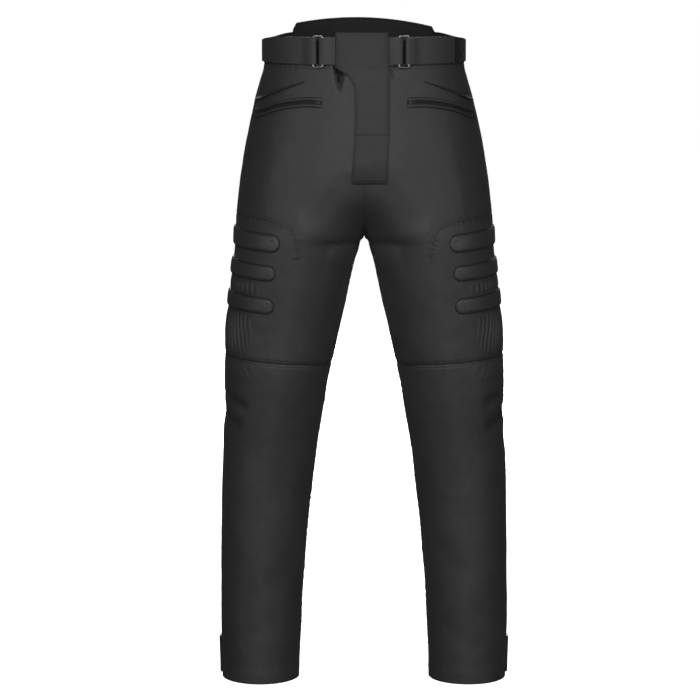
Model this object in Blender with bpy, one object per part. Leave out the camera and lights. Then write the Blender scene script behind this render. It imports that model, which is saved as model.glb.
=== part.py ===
"""Textile motorcycle trousers in their worn, hollow form.

Metres, +Z up, and the front faces -Y. The origin is the middle of the waist opening, at half
the height of the front waistband. Left and right are as seen from the front.
"""
from collections import namedtuple
from functools import lru_cache
from math import asin, cos, exp, pi, radians, sin, sqrt

import bmesh
import bpy
import numpy as np
from mathutils import Vector

# Driving sizes
CLOTH = 0.0022              # thickness of the shell with its mesh backing
SEAM_GAP = 0.0003           # between two pieces that are sewn together
BAND_TOP = 0.0204
BAND_BOTTOM = -0.0260
BAND_PROUD = 0.0010         # how far the waistband stands out over the panels
BAND_DIP = 0.0085           # its top edge is that much lower at the side seams
BAND_DIP_FROM = 0.50        # of the way from the centre front to the side seam
HEM = -1.0515
FORK = -0.3097              # lowest point of the crotch
RISE_TOP = -0.2000          # the crotch curve starts to turn under here
CROTCH_ROUNDNESS = 2.3
SIDE_SEAM_TURN = radians(10)    # behind the outermost line of the leg

# Rings of one half, from above the waist down to the hem: the outermost x, the x of the widest
# front to back line, the inseam's x, and the reach of the front and of the back
Ring = namedtuple("Ring", "height outer centre inner front back")
RINGS = [
    Ring(0.0500, 0.1632, 0.0000, 0.0000, 0.1125, 0.1130),
    Ring(-0.0280, 0.1632, 0.0000, 0.0000, 0.1125, 0.1130),
    Ring(-0.0550, 0.1696, 0.0040, 0.0000, 0.1155, 0.1200),
    Ring(-0.0880, 0.1788, 0.0100, 0.0000, 0.1175, 0.1270),
    Ring(-0.1210, 0.1863, 0.0170, 0.0000, 0.1190, 0.1340),
    Ring(-0.1530, 0.1930, 0.0250, 0.0000, 0.1205, 0.1395),
    Ring(-0.1860, 0.1989, 0.0350, 0.0000, 0.1215, 0.1425),
    Ring(-0.2190, 0.2038, 0.0480, 0.0000, 0.1215, 0.1430),
    Ring(-0.2520, 0.2074, 0.0640, 0.0000, 0.1205, 0.1395),
    Ring(-0.2850, 0.2106, 0.0860, 0.0000, 0.1185, 0.1310),
    Ring(FORK, 0.2115, 0.1055, 0.0000, 0.1165, 0.1240),
    Ring(-0.3130, 0.2117, 0.1075, 0.0045, 0.1162, 0.1232),
    Ring(-0.3180, 0.2120, 0.1098, 0.0074, 0.1158, 0.1220),
    Ring(-0.3344, 0.2133, 0.1128, 0.0107, 0.1145, 0.1185),
    Ring(-0.3509, 0.2150, 0.1158, 0.0148, 0.1130, 0.1150),
    Ring(-0.3840, 0.2187, 0.1211, 0.0222, 0.1100, 0.1090),
    Ring(-0.4170, 0.2222, 0.1264, 0.0296, 0.1065, 0.1040),
    Ring(-0.4500, 0.2263, 0.1321, 0.0379, 0.1035, 0.0990),
    Ring(-0.4840, 0.2285, 0.1365, 0.0445, 0.1010, 0.0950),
    Ring(-0.5170, 0.2295, 0.1408, 0.0520, 0.0985, 0.0915),
    Ring(-0.5505, 0.2310, 0.1452, 0.0595, 0.0950, 0.0895),
    Ring(-0.5840, 0.2323, 0.1484, 0.0645, 0.0905, 0.0885),
    Ring(-0.6510, 0.2336, 0.1549, 0.0762, 0.0820, 0.0885),
    Ring(-0.7180, 0.2358, 0.1597, 0.0846, 0.0750, 0.0890),
    Ring(-0.7860, 0.2372, 0.1642, 0.0923, 0.0700, 0.0890),
    Ring(-0.8540, 0.2385, 0.1679, 0.0983, 0.0665, 0.0880),
    Ring(-0.9220, 0.2390, 0.1702, 0.1026, 0.0640, 0.0865),
    Ring(-0.9730, 0.2386, 0.1713, 0.1053, 0.0625, 0.0850),
    Ring(HEM - 0.0015, 0.2368, 0.1720, 0.1090, 0.0610, 0.0830),
]

# Rows of the panels' points: their height along the centre and inseam, and at the side seam
Row = namedtuple("Row", "inside side")
ROWS = [
    Row(BAND_BOTTOM, BAND_BOTTOM),
    Row(-0.0500, -0.0500),
    Row(-0.0750, -0.0750),
    Row(-0.1000, -0.1000),
    Row(-0.1260, -0.1250),
    Row(-0.1520, -0.1500),
    Row(-0.1780, -0.1750),
    Row(-0.2030, -0.2000),
    Row(-0.2270, -0.2250),
    Row(-0.2490, -0.2490),
    Row(-0.2680, -0.2730),
    Row(-0.2840, -0.2950),
    Row(-0.2970, -0.3160),
    Row(-0.3055, -0.3370),
    Row(FORK, -0.3580),
    Row(-0.3160, -0.3790),
    Row(-0.3280, -0.4000),
    Row(-0.3500, -0.4210),
    Row(-0.3820, -0.4420),
    Row(-0.4220, -0.4640),
    Row(-0.4670, -0.4850),
    Row(-0.5205, -0.5020),
    Row(-0.5390, -0.5290),
    Row(-0.5570, -0.5540),
    Row(-0.5800, -0.5790),
    Row(-0.6030, -0.6030),
    Row(-0.6280, -0.6280),
    Row(-0.6570, -0.6570),
    Row(-0.6950, -0.6950),
    Row(-0.7400, -0.7400),
    Row(-0.7900, -0.7900),
    Row(-0.8450, -0.8450),
    Row(-0.9000, -0.9000),
    Row(-0.9500, -0.9500),
    Row(-1.0000, -1.0000),
    Row(HEM, HEM),
]
YOKE_ROW = 10               # the knee panel's top seam
FORK_ROW = 14
KNEE_ROW = 21
HEM_ROW = len(ROWS) - 1

# Columns of the panels' points, from the centre front round the side to the centre back
YOKE_COLUMN = 6             # the knee panel's inner seam
SIDE_COLUMN = 14
BACK_COLUMN = 24

# The knee panel's inner seam, seen from the front
SeamPoint = namedtuple("SeamPoint", "height x")
YOKE_SEAM = [
    SeamPoint(0.0500, 0.0960),
    SeamPoint(-0.0260, 0.0980),
    SeamPoint(-0.2850, 0.1215),
    SeamPoint(-0.2990, 0.1140),
    SeamPoint(-0.3110, 0.1110),
    SeamPoint(-0.3450, 0.1060),
    SeamPoint(-0.4200, 0.0990),
    SeamPoint(-0.5140, 0.0940),
    SeamPoint(-1.0520, 0.1500),
]
YOKE_CORNER_DIP = 0.018
YOKE_DIP_ACROSS = 0.5
YOKE_DIP_DOWN = 0.6

# The largest folds: troughs between two places, each given by height and by how far round it
# lies, 0 at the inside front, 1 at the side seam and 2 at the inside back
Fold = namedtuple("Fold", "sides height_a round_a height_b round_b width depth")
FOLDS = [
    Fold("both", -0.590, 1.05, -0.618, 0.80, 0.020, 0.0032),
    Fold("left", -0.560, 0.98, -0.585, 0.86, 0.018, 0.0020),
    Fold("right", -0.630, 1.00, -0.655, 0.88, 0.020, 0.0025),
    Fold("both", -0.490, 0.02, -0.505, 0.16, 0.022, 0.0040),
    Fold("both", -0.530, 1.30, -0.520, 1.90, 0.020, 0.0045),
    Fold("both", -0.580, 1.15, -0.560, 1.75, 0.020, 0.0035),
    Fold("both", -0.330, 1.95, -0.385, 1.45, 0.024, 0.0040),
    Fold("both", -0.260, 0.12, -0.300, 0.35, 0.026, 0.0030),
]

# Gathers raised in the knee panel, between the ribs and below them. Each band of them runs
# between two places round the leg, with its own upper and lower end at each
Gather = namedtuple("Gather", "round_a top_a bottom_a round_b top_b bottom_b height")
GATHERS = [
    Gather(0.68, -0.3780, -0.3985, 0.98, -0.3720, -0.3930, 0.0014),
    Gather(0.74, -0.4300, -0.4980, 0.98, -0.4240, -0.4960, 0.0030),
]
GATHER_FINER = 3            # points of the knee panel to one column
GATHER_FINE_ROWS = (12, 16) # and two to a row between these rows

# Three padded ribs on each knee panel: their middle line seen from the front, at the round
# inner end and out at the side seam, and how broad they are
Rib = namedtuple("Rib", "inner_x inner_height side_height breadth")
RIBS = [
    Rib(0.1370, -0.3120, -0.3070, 0.0275),
    Rib(0.1440, -0.3600, -0.3565, 0.0240),
    Rib(0.1470, -0.4135, -0.4080, 0.0220),
]
RIB_HEIGHT = 0.0050
RIB_EDGE_HEIGHT = 0.0012
RIB_TIP = 0.3               # part of the breadth that is left at the very end
RIB_LIFT = 0.0009           # clear of the panel's flat cells under it
RIB_END_STATIONS = 4        # round its inner end
RIB_STATIONS = 8            # from there to the side seam
RIB_ROWS = 5

# The closure tab and fly flap: its two edges seen from the front, from the top down
FlapRow = namedtuple("FlapRow", "height left right")
FLAP = [
    FlapRow(0.0277, -0.0463, 0.0367),
    FlapRow(0.0100, -0.0463, 0.0372),
    FlapRow(-0.0080, -0.0463, 0.0380),
    FlapRow(-0.0280, -0.0463, 0.0395),
    FlapRow(-0.0335, -0.0400, 0.0399),
    FlapRow(-0.0380, -0.0315, 0.0399),
    FlapRow(-0.0460, -0.0235, 0.0399),
    FlapRow(-0.0560, -0.0185, 0.0399),
    FlapRow(-0.0680, -0.0160, 0.0399),
    FlapRow(-0.0900, -0.0157, 0.0399),
    FlapRow(-0.1140, -0.0157, 0.0399),
    FlapRow(-0.1372, -0.0160, 0.0399),
    FlapRow(-0.1640, -0.0178, 0.0388),
    FlapRow(-0.1900, -0.0196, 0.0377),
    FlapRow(-0.2143, -0.0209, 0.0369),
]
FLAP_OVER_BAND = -0.0350    # above this height it lies over the waistband
FLAP_COLUMNS = 6
FLAP_THICKNESS = 0.0024
FLAP_LIFT = 0.0009          # clear of the thigh panels' flat cells

# Waist straps, rings and loops: the ring's middle seen from the front, and where the strap's
# free end lies on the way from the centre front to the side seam
Adjuster = namedtuple("Adjuster", "ring_x free_end")
ADJUSTERS = {
    "left": Adjuster(0.0726, 0.97),
    "right": Adjuster(0.0638, 0.72),
}
STRAP_START = 0.995         # its sewn end, on the same way round
STRAP_STEP = 0.011          # from one point to the next along it
STRAP_TURN_STEPS = 6        # round the ring's bar
STRAP_INSET = 0.0014        # its top edge below the waistband's
STRAP_BOTTOM = -0.0235
STRAP_THICKNESS = 0.0011
RING_WIDTH = 0.0185         # between the centres of its upright bars
RING_HEIGHT = 0.0490        # between the centres of its level bars
RING_MIDDLE = -0.0035
RING_WIRE = 0.00125
RING_CORNER = 0.0026
RING_LIFT = 0.0045
RING_CLEARANCE = 0.0008
STRAP_SETTLES = 0.022       # the folded strap lies down on itself over this length

# Hip pockets: their middle line seen from the front
PocketPoint = namedtuple("PocketPoint", "x height")
POCKET = [
    PocketPoint(0.1740, -0.1068),
    PocketPoint(0.1400, -0.0927),
    PocketPoint(0.1120, -0.0866),
    PocketPoint(0.0880, -0.0842),
    PocketPoint(0.0684, -0.0852),
]
POCKET_STATIONS = 9
LIP_BREADTH = 0.0062
LIP_HEIGHT = 0.0030
LIP_OFFSET = 0.0050
LIP_EDGE = 0.35             # part of its height that is left along its edges
LIP_START = 0.4             # and at its inner end
LIP_START_RUN = 0.17        # of its length, where it rises to full height
ZIP_BREADTH = 0.0030
ZIP_HEIGHT = 0.0012
TRIM_LIFT = 0.0006          # clear of the panel's flat cells under it

# The tuck above each pocket, seen from the front
TUCK = [PocketPoint(0.1735, -0.0828), PocketPoint(0.1350, -0.0662), PocketPoint(0.0960, -0.0518)]
TUCK_STATIONS = 7
TUCK_BREADTH = 0.0060
TUCK_HEIGHT = 0.0022
TUCK_END = 0.25             # part of both that is left at its inner end
TUCK_SLOPE = 0.6            # its upper edge is flatter and its lower edge stands up

# The raised back of the waistband, seen from the front
BACK_PLAIN_TOP = 0.0190
BACK_STEP_X = 0.1170
BACK_STEP = 0.0080
BACK_STEP_RUN = 0.0060
BACK_ARCH = 0.0150
BACK_ARCH_MIDDLE = -0.0150
BACK_BAND_X = [0.150, 0.135, BACK_STEP_X, BACK_STEP_X - BACK_STEP_RUN / 2,
               BACK_STEP_X - BACK_STEP_RUN, 0.095, 0.078, 0.060, 0.040, 0.020]
FRONT_BAND_COLUMNS = 9

# Hem tabs on the outer sides
TAB_TOP = -0.9850
TAB_BOTTOM = -1.0475
TAB_FROM = 0.90
TAB_TO = 1.32
TAB_THICKNESS = 0.0045
TAB_CORNER = 0.012
TAB_COLUMNS = 10
TAB_ROWS = 4
TAB_COLUMNS_CROWD = 1.5     # towards the round front end

# Colours are linear light
Finish = namedtuple("Finish", "colour roughness metallic")
FINISHES = {
    "shell_cloth": Finish((0.030, 0.030, 0.031), 0.62, 0.0),
    "panel_cloth": Finish((0.026, 0.026, 0.027), 0.70, 0.0),
    "rib_cloth": Finish((0.034, 0.034, 0.035), 0.60, 0.0),
    "band_cloth": Finish((0.028, 0.028, 0.029), 0.66, 0.0),
    "back_band_cloth": Finish((0.012, 0.012, 0.012), 0.80, 0.0),
    "flap_cloth": Finish((0.040, 0.040, 0.041), 0.64, 0.0),
    "strap_webbing": Finish((0.028, 0.028, 0.029), 0.58, 0.0),
    "ring_metal": Finish((0.300, 0.300, 0.305), 0.35, 1.0),
    "zip_tape": Finish((0.008, 0.008, 0.008), 0.55, 0.0),
}


def pchip(places, values, at):
    """Smooth interpolation that never overshoots; places rise."""
    steps = np.diff(places)
    rises = np.diff(values) / steps
    slopes = np.empty(len(places))
    slopes[0] = rises[0]
    slopes[-1] = rises[-1]
    before = rises[:-1]
    after = rises[1:]
    same_way = before * after > 0
    total = np.where(same_way, before + after, 1.0)
    slopes[1:-1] = np.where(same_way, 2 * before * after / total, 0.0)
    at = min(max(at, places[0]), places[-1])
    k = min(int(np.searchsorted(places, at, side="right")) - 1, len(steps) - 1)
    t = (at - places[k]) / steps[k]
    return float((1 + 2 * t) * (1 - t) ** 2 * values[k] + t * (1 - t) ** 2 * steps[k] * slopes[k]
                 + t * t * (3 - 2 * t) * values[k + 1] - t * t * (1 - t) * steps[k] * slopes[k + 1])


def column_reader(table, place_name):
    """A function that reads one named column of a table at any place along another."""
    ordered = sorted(table, key=lambda row: getattr(row, place_name))
    places = np.array([getattr(row, place_name) for row in ordered])

    def read(name, at):
        return pchip(places, np.array([getattr(row, name) for row in ordered]), at)
    return read


read_ring = column_reader(RINGS, "height")
read_yoke = column_reader(YOKE_SEAM, "height")
read_pocket = column_reader(POCKET, "x")
read_tuck = column_reader(TUCK, "x")


def smooth_step(t):
    t = min(max(t, 0.0), 1.0)
    return t * t * (3 - 2 * t)


HalfRing = namedtuple("HalfRing", "x y walk side_walk length side_index")
INSIDE_POINTS = 24
QUARTER_POINTS = 48


@lru_cache(maxsize=None)
def half_ring(height):
    """One half of the garment at a height, from its inside front round to its inside back."""
    ring = Ring(height, *(read_ring(name, height) for name in Ring._fields[1:]))
    if height > FORK:
        rise = min(1.0, (height - FORK) / (RISE_TOP - FORK))
        open_part = (1 - (1 - rise) ** CROTCH_ROUNDNESS) ** (1 / CROTCH_ROUNDNESS)
        cut = sqrt(max(0.0, 1 - open_part ** 2))
        inner = 0.0
    else:
        cut = 1.0
        inner = ring.inner
    middle = (ring.back - ring.front) / 2
    depth = (ring.back + ring.front) / 2
    inside = np.linspace(1, 0, INSIDE_POINTS, endpoint=False)
    turn = inside * asin(cut)
    inward = np.sin(turn) / cut if cut > 1e-6 else inside
    inside_x = ring.centre - (ring.centre - inner) * inward
    inside_y = depth * np.cos(turn)
    quarter = np.linspace(0, pi / 2, QUARTER_POINTS)
    outer_x = ring.centre + (ring.outer - ring.centre) * np.sin(quarter)
    outer_y = depth * np.cos(quarter)
    x = np.concatenate([inside_x, outer_x, outer_x[-2::-1], inside_x[::-1]])
    y = middle + np.concatenate([-inside_y, -outer_y, outer_y[-2::-1], inside_y[::-1]])
    walk = np.concatenate([[0.0], np.cumsum(np.hypot(np.diff(x), np.diff(y)))])
    outermost = INSIDE_POINTS + QUARTER_POINTS - 1
    side_index = outermost + SIDE_SEAM_TURN / (pi / 2) * (QUARTER_POINTS - 1)
    side_walk = float(np.interp(side_index, np.arange(len(walk)), walk))
    return HalfRing(x, y, walk, side_walk, float(walk[-1]), outermost)


def walk_of(ring, around):
    """Distance round a half from its inside front, for 0 to 1 in front and 1 to 2 behind."""
    if around <= 1:
        return around * ring.side_walk
    return ring.side_walk + (around - 1) * (ring.length - ring.side_walk)


def base_point(around, height):
    ring = half_ring(round(height, 7))
    walk = walk_of(ring, around)
    return Vector((float(np.interp(walk, ring.walk, ring.x)),
                   float(np.interp(walk, ring.walk, ring.y)), height))


def base_normal(around, height):
    """Points away from the wearer, on the half at +X."""
    low = max(around - 0.01, 0.0)
    high = min(around + 0.01, 2.0)
    along = base_point(high, height) - base_point(low, height)
    down = base_point(around, height - 0.002) - base_point(around, height + 0.002)
    return down.cross(along).normalized()


def around_at(x, height):
    """How far round the front a place lies, from its x as seen from the front."""
    ring = half_ring(round(height, 7))
    front = slice(0, ring.side_index + 1)
    walk = float(np.interp(abs(x), ring.x[front], ring.walk[front]))
    return walk / ring.side_walk


def fold_height(side, around, height):
    """How far the folds move the cloth, in towards the wearer where it is below zero."""
    ring = half_ring(round(height, 7))
    place = Vector((walk_of(ring, around), height))
    total = 0.0
    for fold in FOLDS:
        if fold.sides not in ("both", side):
            continue
        start = Vector((walk_of(ring, fold.round_a), fold.height_a))
        end = Vector((walk_of(ring, fold.round_b), fold.height_b))
        run = end - start
        t = min(max((place - start).dot(run) / run.length_squared, 0.0), 1.0)
        fades = 1 - abs(2 * t - 1) ** 4
        total -= fold.depth * fades * exp(-((place - start - run * t).length / fold.width) ** 2)
    return total


SIGNS = {"left": -1, "right": 1}


def mirrored(side, point):
    return Vector((SIGNS[side] * point.x, point.y, point.z))


def skin(side, around, height, lift=0.0):
    """A point of the shell's outer face on one side, moved out by a lift."""
    outward = lift + fold_height(side, around, height)
    point = base_point(around, height) + base_normal(around, height) * outward
    return mirrored(side, point)


def front_skin(x, height, lift):
    """The same, placed by its x as seen from the front."""
    side = "right" if x >= 0 else "left"
    return skin(side, around_at(x, height), height, lift)


def object_of(name, mesh, finish, collection):
    obj = bpy.data.objects.new(name, mesh)
    collection.objects.link(obj)
    material = bpy.data.materials.get(finish)
    if material is None:
        material = bpy.data.materials.new(finish)
        material.use_nodes = True
        shader = material.node_tree.nodes["Principled BSDF"]
        values = FINISHES[finish]
        shader.inputs["Base Color"].default_value = (*values.colour, 1.0)
        shader.inputs["Roughness"].default_value = values.roughness
        shader.inputs["Metallic"].default_value = values.metallic
    mesh.materials.append(material)
    mesh.shade_smooth()
    mesh.set_sharp_from_angle(angle=radians(40))
    return obj


def closed_wall(name, outer, inner, cells, finish, collection):
    """A closed solid between two layers of points. Both are keyed alike, and each cell names
    its four corners in order."""
    sheet = bmesh.new()
    outer_points = {key: sheet.verts.new(point) for key, point in outer.items()}
    inner_points = {key: sheet.verts.new(inner[key]) for key in outer}
    edge_uses = {}
    for cell in cells:
        sheet.faces.new([outer_points[key] for key in cell])
        sheet.faces.new([inner_points[key] for key in reversed(cell)])
        for first, second in zip(cell, cell[1:] + cell[:1]):
            edge_uses.setdefault(frozenset((first, second)), []).append((first, second))
    for uses in edge_uses.values():
        if len(uses) == 1:
            first, second = uses[0]
            sheet.faces.new([outer_points[second], outer_points[first],
                             inner_points[first], inner_points[second]])
    bmesh.ops.recalc_face_normals(sheet, faces=sheet.faces)
    mesh = bpy.data.meshes.new(name)
    sheet.to_mesh(mesh)
    sheet.free()
    return object_of(name, mesh, finish, collection)


def grid_cells(columns, rows):
    """Cells of a plain grid, keyed by (column, row)."""
    return [((c, r), (c, r + 1), (c + 1, r + 1), (c + 1, r))
            for c in range(columns) for r in range(rows)]


# The leg panels
def row_height(column, row):
    """Height of a panel point: rows run level at the waist and bow down round the fork."""
    if column <= SIDE_COLUMN:
        to_side = smooth_step(column / SIDE_COLUMN)
    else:
        to_side = smooth_step((BACK_COLUMN - column) / (BACK_COLUMN - SIDE_COLUMN))
    height = ROWS[row].inside * (1 - to_side) + ROWS[row].side * to_side
    if column <= SIDE_COLUMN and 0 < row < KNEE_ROW:
        dip = YOKE_CORNER_DIP * YOKE_DIP_ACROSS ** abs(column - YOKE_COLUMN)
        height -= dip * YOKE_DIP_DOWN ** abs(row - YOKE_ROW) * smooth_step(column / 3)
    return height


def column_around(column, height):
    if column > SIDE_COLUMN:
        return 1 + (column - SIDE_COLUMN) / (BACK_COLUMN - SIDE_COLUMN)
    yoke = around_at(read_yoke("x", height), height)
    if column <= YOKE_COLUMN:
        return yoke * column / YOKE_COLUMN
    return yoke + (1 - yoke) * (column - YOKE_COLUMN) / (SIDE_COLUMN - YOKE_COLUMN)


@lru_cache(maxsize=None)
def leg_point(side, column, row):
    height = row_height(column, row)
    return skin(side, column_around(column, height), height)


def cell_normal(side, column, row):
    first = leg_point(side, column, row) - leg_point(side, column + 1, row + 1)
    second = leg_point(side, column + 1, row) - leg_point(side, column, row + 1)
    return second.cross(first) * SIGNS[side]


@lru_cache(maxsize=None)
def leg_normal(side, column, row):
    """Averaged over the cells that meet there, also across the inseam and the centre seams."""
    total = Vector((0, 0, 0))
    rows = [r for r in (row - 1, row) if 0 <= r < HEM_ROW]
    for c in (column - 1, column):
        for r in rows:
            if 0 <= c < BACK_COLUMN:
                total += cell_normal(side, c, r)
            elif r >= FORK_ROW:
                total += cell_normal(side, c % BACK_COLUMN, r)
    if column in (0, BACK_COLUMN) and row <= FORK_ROW:
        total.x = 0
    return total.normalized()


def leg_spot(side, column, row):
    """Point and normal at any place between the panel points, on the flat cells."""
    c = min(int(column), BACK_COLUMN - 1)
    r = min(int(row), HEM_ROW - 1)
    u = column - c
    v = row - r
    point = Vector((0, 0, 0))
    normal = Vector((0, 0, 0))
    for dc, wc in ((0, 1 - u), (1, u)):
        for dr, wr in ((0, 1 - v), (1, v)):
            if wc * wr > 0:
                point += leg_point(side, c + dc, r + dr) * (wc * wr)
                normal += leg_normal(side, c + dc, r + dr) * (wc * wr)
    return point, normal.normalized()


def seam_allowance(side, points, normals, cells):
    """Moves a panel's edges in by half a seam gap, square to each edge."""
    edge_uses = {}
    for cell in cells:
        middle = sum((points[key] for key in cell), Vector((0, 0, 0))) / 4
        for first, second in zip(cell, cell[1:] + cell[:1]):
            edge_uses.setdefault(frozenset((first, second)), []).append(middle)
    inward = {}
    for edge, middles in edge_uses.items():
        if len(middles) > 1:
            continue
        first, second = edge
        on_centre = abs(points[first].x) < 1e-7 and abs(points[second].x) < 1e-7
        for key in edge:
            if on_centre:
                way = Vector((SIGNS[side], 0, 0))
            else:
                way = normals[key].cross(points[second] - points[first]).normalized()
                if way.dot(middles[0] - points[key]) < 0:
                    way = -way
            inward.setdefault(key, []).append(way)
    moved = dict(points)
    for key, ways in inward.items():
        total = sum(ways, Vector((0, 0, 0)))
        share = 1 + ways[0].dot(ways[-1]) if len(ways) > 1 else 1
        moved[key] = points[key] + total * (SEAM_GAP / 2 / max(share, 0.5))
    return moved


def panel(name, side, places, cells, finish, collection, raised=None):
    """A panel of cloth on the leg's points. Places give each key its column and row."""
    points = {}
    normals = {}
    for key, (column, row) in places.items():
        points[key], normals[key] = leg_spot(side, column, row)
    points = seam_allowance(side, points, normals, cells)
    inner = {key: points[key] - normals[key] * CLOTH for key in points}
    if raised:
        for key in points:
            points[key] = points[key] + normals[key] * raised(*places[key])
    return closed_wall(name, points, inner, cells, finish, collection)


def leg_cells(wanted):
    cells = []
    for column in range(BACK_COLUMN):
        for row in range(HEM_ROW):
            if wanted(column, row):
                cells.append(((column, row), (column, row + 1),
                              (column + 1, row + 1), (column + 1, row)))
    return cells


def plain_panel(name, side, wanted, finish, collection):
    cells = leg_cells(wanted)
    places = {key: key for cell in cells for key in cell}
    return panel(name, side, places, cells, finish, collection)


def is_knee_panel(column, row):
    return YOKE_COLUMN <= column < SIDE_COLUMN and YOKE_ROW <= row < KNEE_ROW


def is_thigh(column, row):
    return column < SIDE_COLUMN and row < KNEE_ROW and not is_knee_panel(column, row)


def is_shin(column, row):
    return column < SIDE_COLUMN and row >= KNEE_ROW


def is_back_thigh(column, row):
    return column >= SIDE_COLUMN and row < KNEE_ROW


def is_back_shin(column, row):
    return column >= SIDE_COLUMN and row >= KNEE_ROW


def gather_height(column, row):
    """Every second point between two columns stands up, highest at mid-length."""
    low = min(int(row), KNEE_ROW - 1)
    c = min(int(column), SIDE_COLUMN - 1)
    height = (row_height(c, low) * (1 - row + low) + row_height(c, low + 1) * (row - low))
    around = column_around(column, height) if column < SIDE_COLUMN else 1.0
    step = round((column - YOKE_COLUMN) * GATHER_FINER)
    total = 0.0
    for gather in GATHERS:
        across = (around - gather.round_a) / (gather.round_b - gather.round_a)
        top = gather.top_a + (gather.top_b - gather.top_a) * across
        bottom = gather.bottom_a + (gather.bottom_b - gather.bottom_a) * across
        along = (top - height) / (top - bottom)
        if 0 < along < 1 and 0 < across < 1 and step % 2:
            total += gather.height * sin(pi * along) ** 0.5 * min(1.0, 4 * across * (1 - across))
    return total


def knee_panel(name, side, finish, collection):
    """The same cells made finer, its edges still straight between the shared points."""
    columns = (SIDE_COLUMN - YOKE_COLUMN) * GATHER_FINER
    rows = []
    for row in range(YOKE_ROW, KNEE_ROW + 1):
        rows.append(row)
        if GATHER_FINE_ROWS[0] <= row < GATHER_FINE_ROWS[1]:
            rows.append(row + 0.5)
    places = {(c, r): (YOKE_COLUMN + c / GATHER_FINER, row)
              for c in range(columns + 1) for r, row in enumerate(rows)}
    return panel(name, side, places, grid_cells(columns, len(rows) - 1), finish, collection,
                 raised=gather_height)


def leg_panels(collection):
    for side in SIGNS:
        plain_panel(f"thigh_front_{side}", side, is_thigh, "shell_cloth", collection)
        knee_panel(f"knee_panel_{side}", side, "panel_cloth", collection)
        plain_panel(f"shin_front_{side}", side, is_shin, "shell_cloth", collection)
        plain_panel(f"thigh_back_{side}", side, is_back_thigh, "shell_cloth", collection)
        plain_panel(f"shin_back_{side}", side, is_back_shin, "shell_cloth", collection)


# The waistband
def front_band_top(around):
    return BAND_TOP - BAND_DIP * smooth_step((around - BAND_DIP_FROM) / (1 - BAND_DIP_FROM))


def back_band_top(x):
    rise = BACK_STEP * smooth_step((BACK_STEP_X - abs(x)) / BACK_STEP_RUN)
    arch = 1 - ((x - BACK_ARCH_MIDDLE) / (BACK_STEP_X + abs(BACK_ARCH_MIDDLE))) ** 2
    plain = BACK_PLAIN_TOP + (BAND_TOP - BAND_DIP - BACK_PLAIN_TOP) * smooth_step(
        (abs(x) - BACK_STEP_X) / (half_ring(0.0).x.max() - BACK_STEP_X))
    return plain + rise + BACK_ARCH * max(arch, 0.0) * (rise > 0)


def band_piece(name, columns, tops, finish, collection, rows=3):
    """Part of the waistband. Columns are (side, how far round) and tops are their heights."""
    outer = {}
    inner = {}
    for c, ((side, around), top) in enumerate(zip(columns, tops)):
        for r in range(rows + 1):
            low = BAND_BOTTOM + SEAM_GAP
            height = top + (low - top) * r / rows
            outer[c, r] = skin(side, around, height, BAND_PROUD)
            inner[c, r] = skin(side, around, height, -CLOTH)
    return closed_wall(name, outer, inner, grid_cells(len(columns) - 1, rows), finish, collection)


def waistband(collection):
    half_gap = SEAM_GAP / 2
    for side in SIGNS:
        ring = half_ring(0.0)
        first = half_gap / ring.side_walk
        columns = [(side, first + (1 - 2 * first) * k / FRONT_BAND_COLUMNS)
                   for k in range(FRONT_BAND_COLUMNS + 1)]
        tops = [front_band_top(around) for side_name, around in columns]
        band_piece(f"waistband_front_{side}", columns, tops, "band_cloth", collection)
    ring = half_ring(0.0)
    back = slice(ring.side_index, None)
    side_start = 1 + half_gap / (ring.length - ring.side_walk)
    arounds = [side_start]
    for x in BACK_BAND_X:
        walk = float(np.interp(-x, -ring.x[back], ring.walk[back]))
        arounds.append(1 + (walk - ring.side_walk) / (ring.length - ring.side_walk))
    columns = ([("left", a) for a in arounds] + [("left", 2.0)]
               + [("right", a) for a in reversed(arounds)])
    tops = [back_band_top(base_point(a, 0.0).x * SIGNS[s]) for s, a in columns]
    band_piece("waistband_back", columns, tops, "back_band_cloth", collection)


def closure_flap(collection):
    """The tab over the waistband and the fly flap under it, in one piece."""
    outer = {}
    inner = {}
    for r, row in enumerate(FLAP):
        lift = BAND_PROUD + SEAM_GAP if row.height > FLAP_OVER_BAND else FLAP_LIFT
        for c in range(FLAP_COLUMNS + 1):
            x = row.left + (row.right - row.left) * c / FLAP_COLUMNS
            inner[c, r] = front_skin(x, row.height, lift)
            outer[c, r] = front_skin(x, row.height, lift + FLAP_THICKNESS)
    closed_wall("closure_flap", outer, inner, grid_cells(FLAP_COLUMNS, len(FLAP) - 1),
                "flap_cloth", collection)


# Waist adjusters
def waist_spot(side, walk, lift, height):
    """A point by its distance round the waist from the centre front."""
    ring = half_ring(0.0)
    return skin(side, walk / ring.side_walk, height, lift)


def ribbon(name, side, path, finish, collection):
    """A strap of even thickness that follows a path of (walk, lift) places, on edge."""
    outer = {}
    inner = {}
    half = STRAP_THICKNESS / 2
    for k, place in enumerate(path):
        before = path[max(k - 1, 0)]
        after = path[min(k + 1, len(path) - 1)]
        run = Vector((after[0] - before[0], after[1] - before[1])).normalized()
        across = Vector((-run.y, run.x)) * half
        around = place[0] / half_ring(0.0).side_walk
        for r, height in enumerate((front_band_top(around) - STRAP_INSET, STRAP_BOTTOM)):
            outer[k, r] = waist_spot(side, place[0] + across.x, place[1] + across.y, height)
            inner[k, r] = waist_spot(side, place[0] - across.x, place[1] - across.y, height)
    closed_wall(name, outer, inner, grid_cells(len(path) - 1, 1), finish, collection)


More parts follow.
